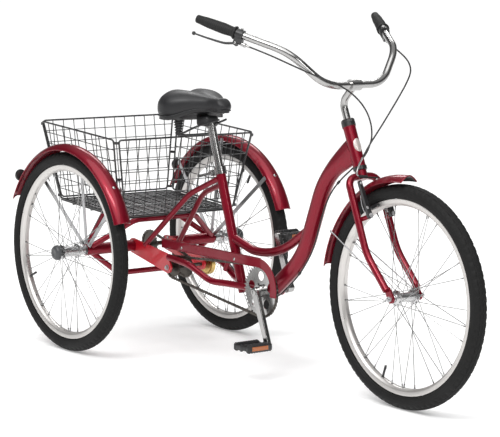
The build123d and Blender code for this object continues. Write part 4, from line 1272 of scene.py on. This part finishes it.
seat_tube_foot = at(524, 0, 237)
clamp = seat_tube_foot + seat_up * 560 * MM
for side in (-1, 1):
    hex_head(bm, clamp + Y_WAY * side * 14.5 * MM, Y_WAY * side, 13, 7, 9)
piece("saddle_clamp_nuts", bm, zinc, "seat")

# ---- axle ends, band brake and drive plate bolts --------------------------------------------
bm = bmesh.new()
hex_head(bm, jack_axis - Y_WAY * 73 * MM, -Y_WAY, 12, 6, 9)
lathe(bm, jack_axis + Y_WAY * 101.2 * MM, Y_WAY,
      [(0, 0), (0, 11), (2.5, 11), (3.5, 9), (3.5, 0)], 40)
for k in range(8):
    a = 2 * math.pi * k / 8
    foot = jack_axis + Vector((22 * math.cos(a), 0, 22 * math.sin(a))) * MM
    dome_head(bm, foot + Y_WAY * 101 * MM, Y_WAY, 2.6, 1.4)
piece("jackshaft_nuts", bm, zinc, "jackshaft")
bm = bmesh.new()
for x, z in ((-36, 44), (-36, 4)):
    hex_head(bm, jack_axis + Vector((x, 99, z)) * MM, Y_WAY, 8, 4, 6)
piece("band_brake_bolts", bm, zinc, "frame")
bm = bmesh.new()
for angle in (60, 130, 215, 300):
    way = polar(Vector(), angle, 1.0)
    for side in (-1, 1):
        hex_head(bm, rear_mid + (way * 21.5 + Y_WAY * side * 65.9) * MM, -Y_WAY * side, 7, 3)
piece("drive_plate_bolts", bm, zinc, "frame")

# ---- cables --------------------------------------------------------------------------------
CABLE_D = 0.0048
cable_start = right_side(LEVER_AT + 34.6, PIVOT_OUT - 4)
rear_route = [cable_start, at(944, -246, 1026), at(1004, -205, 996), at(1062, -150, 962),
              at(1092, -92, 939), at(1112, -45, 905), at(1115, -4, 862), at(1113, 18, 818),
              at(1105, 28, 780), at(1092, 32, 757), at(1075, 35, 731), at(1049, 34, 704),
              at(1014, 30, 677), at(980, 14, 642), at(950, 3, 603), at(922, 0, 550),
              at(897, 0, 482), at(871, 0, 412), at(812, 0, 335), at(754, 0, 286),
              at(700, 2, 245), at(636, 8, 236), at(562, 22, 240), at(488, 35, 240),
              at(420, 70, 248), at(345, 92, 285), at(275, 93, 322), at(218, 92, 328),
              at(181.3, 92, 326)]
front_route = [mirrored(cable_start), at(948, 258, 1026), at(1005, 254, 997), at(1042, 236, 968),
               at(1070, 196, 938), at(1099, 140, 899), at(1119, 82, 850), at(1131, 32, 803),
               at(1134, -4, 765), at(1130, -27, 728), at(1124, -43, 695), at(1131, -52, 672),
               at(1140, -26, 666), at(1141, 22, 664)]


rear_line = smooth_line(rear_route, fineness=8)
bm = bmesh.new()
tube(bm, rear_line, CABLE_D / 2, 12)
rear_cable = as_object("rear_brake_cable", bm, cable_black)
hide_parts("rear_brake_cable_upper", "rear_brake_cable_lower")
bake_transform(rear_cable)

curve = smooth_curve("front_brake_cable_housing", front_route, 10)
curve.bevel_depth = CABLE_D / 2
curve.bevel_resolution = 5
curve.use_fill_caps = True
curve.materials.append(cable_black)
front_cable = in_scene("front_brake_cable_housing", curve)
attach(front_cable, "steering")
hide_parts("front_brake_cable")
front_line = smooth_line(front_route, fineness=8)

bm = bmesh.new()
tube(bm, front_line[-30:-12], 2.8 * MM, 14)
piece("brake_noodle", bm, chrome, "steering")
bm = bmesh.new()
boot = front_line[-11]
way = (front_line[-1] - boot).normalized()
ribs = []
for k in range(9):
    ribs += [(k * 3, 3.6), (k * 3 + 1.5, 5.0)]
lathe(bm, boot, way, [(-1, 2.6), *ribs, (27, 3.2), (27, 2.5)], 24)
piece("brake_boot", bm, grip_rubber, "steering")


def ferrule(bm, line, end):
    """Metal end sleeve of a cable, at the first point of its line or at the last."""
    near, after = (line[0], line[1]) if end == 0 else (line[-1], line[-2])
    lathe(bm, near, after - near, [(0, 0), (0, 3.4), (11, 3.4), (12, 2.8), (12, 0)], 20)


bm = bmesh.new()
ferrule(bm, rear_line, 0)
ferrule(bm, front_line, 0)
piece("cable_ferrules_at_levers", bm, chrome, "steering")
bm = bmesh.new()
ferrule(bm, rear_line, -1)
piece("cable_ferrule_at_band", bm, chrome, "frame")
bm = bmesh.new()
for x, z, lean in ((816, 329, 1.05), (980, 632, 0.75)):
    near = min(range(len(rear_line)), key=lambda i: (rear_line[i] - at(x, 5, z)).length)
    way = rear_line[near + 1] - rear_line[near - 1]
    lathe(bm, rear_line[near] - way.normalized() * 5 * MM, way,
          [(0, 2.5), (0, 4.0), (10, 4.0), (10, 2.5)], 20, closed=True)
piece("cable_clips", bm, black_plastic, "frame")

# ---- floor, light and camera ----------------------------------------------------------------
floor_finish = shader("floor", (0.90, 0.90, 0.90), (0.92, 0.92, 0.92), roughness=(0.85, 0.9),
                      grain=20.0, blotch=2.0, specular=0.1)
set_inputs(floor_finish.node_tree.nodes["Principled BSDF"],
           {"Emission Color": (1, 1, 1, 1), "Emission Strength": 0.24})
FLOOR_HALF = 400.0
bm = bmesh.new()
corners = [(-FLOOR_HALF, -FLOOR_HALF), (FLOOR_HALF, -FLOOR_HALF), (FLOOR_HALF, FLOOR_HALF),
           (-FLOOR_HALF, FLOOR_HALF)]
bm.faces.new([bm.verts.new((x, y, cad_box[0].z - 0.0005)) for x, y in corners])
floor = as_object("floor", bm, floor_finish)

world = bpy.data.worlds.new("studio")
bpy.context.scene.world = world
world.use_nodes = True
world_nodes = world.node_tree.nodes
background = world_nodes["Background"]
sky_place = world_nodes.new("ShaderNodeTexCoord")
split = world_nodes.new("ShaderNodeSeparateXYZ")
sky = world_nodes.new("ShaderNodeValToRGB")
SKY_BANDS = ((0.0, 0.62), (0.12, 0.62), (0.26, 0.14), (0.55, 0.10), (0.80, 0.75))
for i, (height, level) in enumerate(SKY_BANDS):
    stops = sky.color_ramp.elements
    stop = stops[i] if i < 2 else stops.new(height)
    stop.position = height
    stop.color = (level, level, level, 1)
world.node_tree.links.new(sky_place.outputs["Generated"], split.inputs[0])
world.node_tree.links.new(split.outputs["Z"], sky.inputs[0])
world.node_tree.links.new(sky.outputs[0], background.inputs["Color"])
background.inputs["Strength"].default_value = 0.62


def soft_light(name, place, target, size, power):
    data = bpy.data.lights.new(name, "AREA")
    data.shape = "RECTANGLE"
    data.size, data.size_y = size
    data.energy = power
    lamp = in_scene(name, data)
    lamp.location = place
    lamp.rotation_euler = (Vector(target) - Vector(place)).to_track_quat("-Z", "Y").to_euler()


soft_light("key", (1.2, -3.0, 4.2), (0, 0, 0.5), (2.4, 0.9), 72)
soft_light("fill", (4.6, -0.4, 2.6), (0, 0, 0.6), (0.9, 1.6), 28)
soft_light("back", (-3.0, 2.4, 3.6), (0, 0, 0.6), (2.6, 0.8), 46)
sun_data = bpy.data.lights.new("sky_glow", "SUN")
sun_data.energy = 2.15
sun_data.angle = math.radians(75)
sun = in_scene("sky_glow", sun_data)
sun.rotation_euler = Vector((-0.25, 0.45, -1.0)).to_track_quat("-Z", "Y").to_euler()

azimuth, elevation, roll = (math.radians(a) for a in (52.42, 7.61, 0.55))
back_way = Vector((math.sin(azimuth) * math.cos(elevation),
                   -math.cos(azimuth) * math.cos(elevation), math.sin(elevation)))
right_way = Vector((math.cos(azimuth), math.sin(azimuth), 0))
up_way = back_way.cross(right_way)
rolled_right = right_way * math.cos(roll) + up_way * math.sin(roll)
rolled_up = up_way * math.cos(roll) - right_way * math.sin(roll)
camera_data = bpy.data.cameras.new("camera")
camera_data.sensor_width = 36.0
camera_data.lens = 147.99
camera_data.clip_end = 1000.0
camera = in_scene("camera", camera_data)
turn = Matrix((rolled_right, rolled_up, back_way)).transposed()
camera.matrix_world = Matrix.Translation((5.03451, -3.94649, 1.34264)) @ turn.to_4x4()
bpy.context.scene.camera = camera
bpy.context.scene.view_settings.view_transform = "Standard"
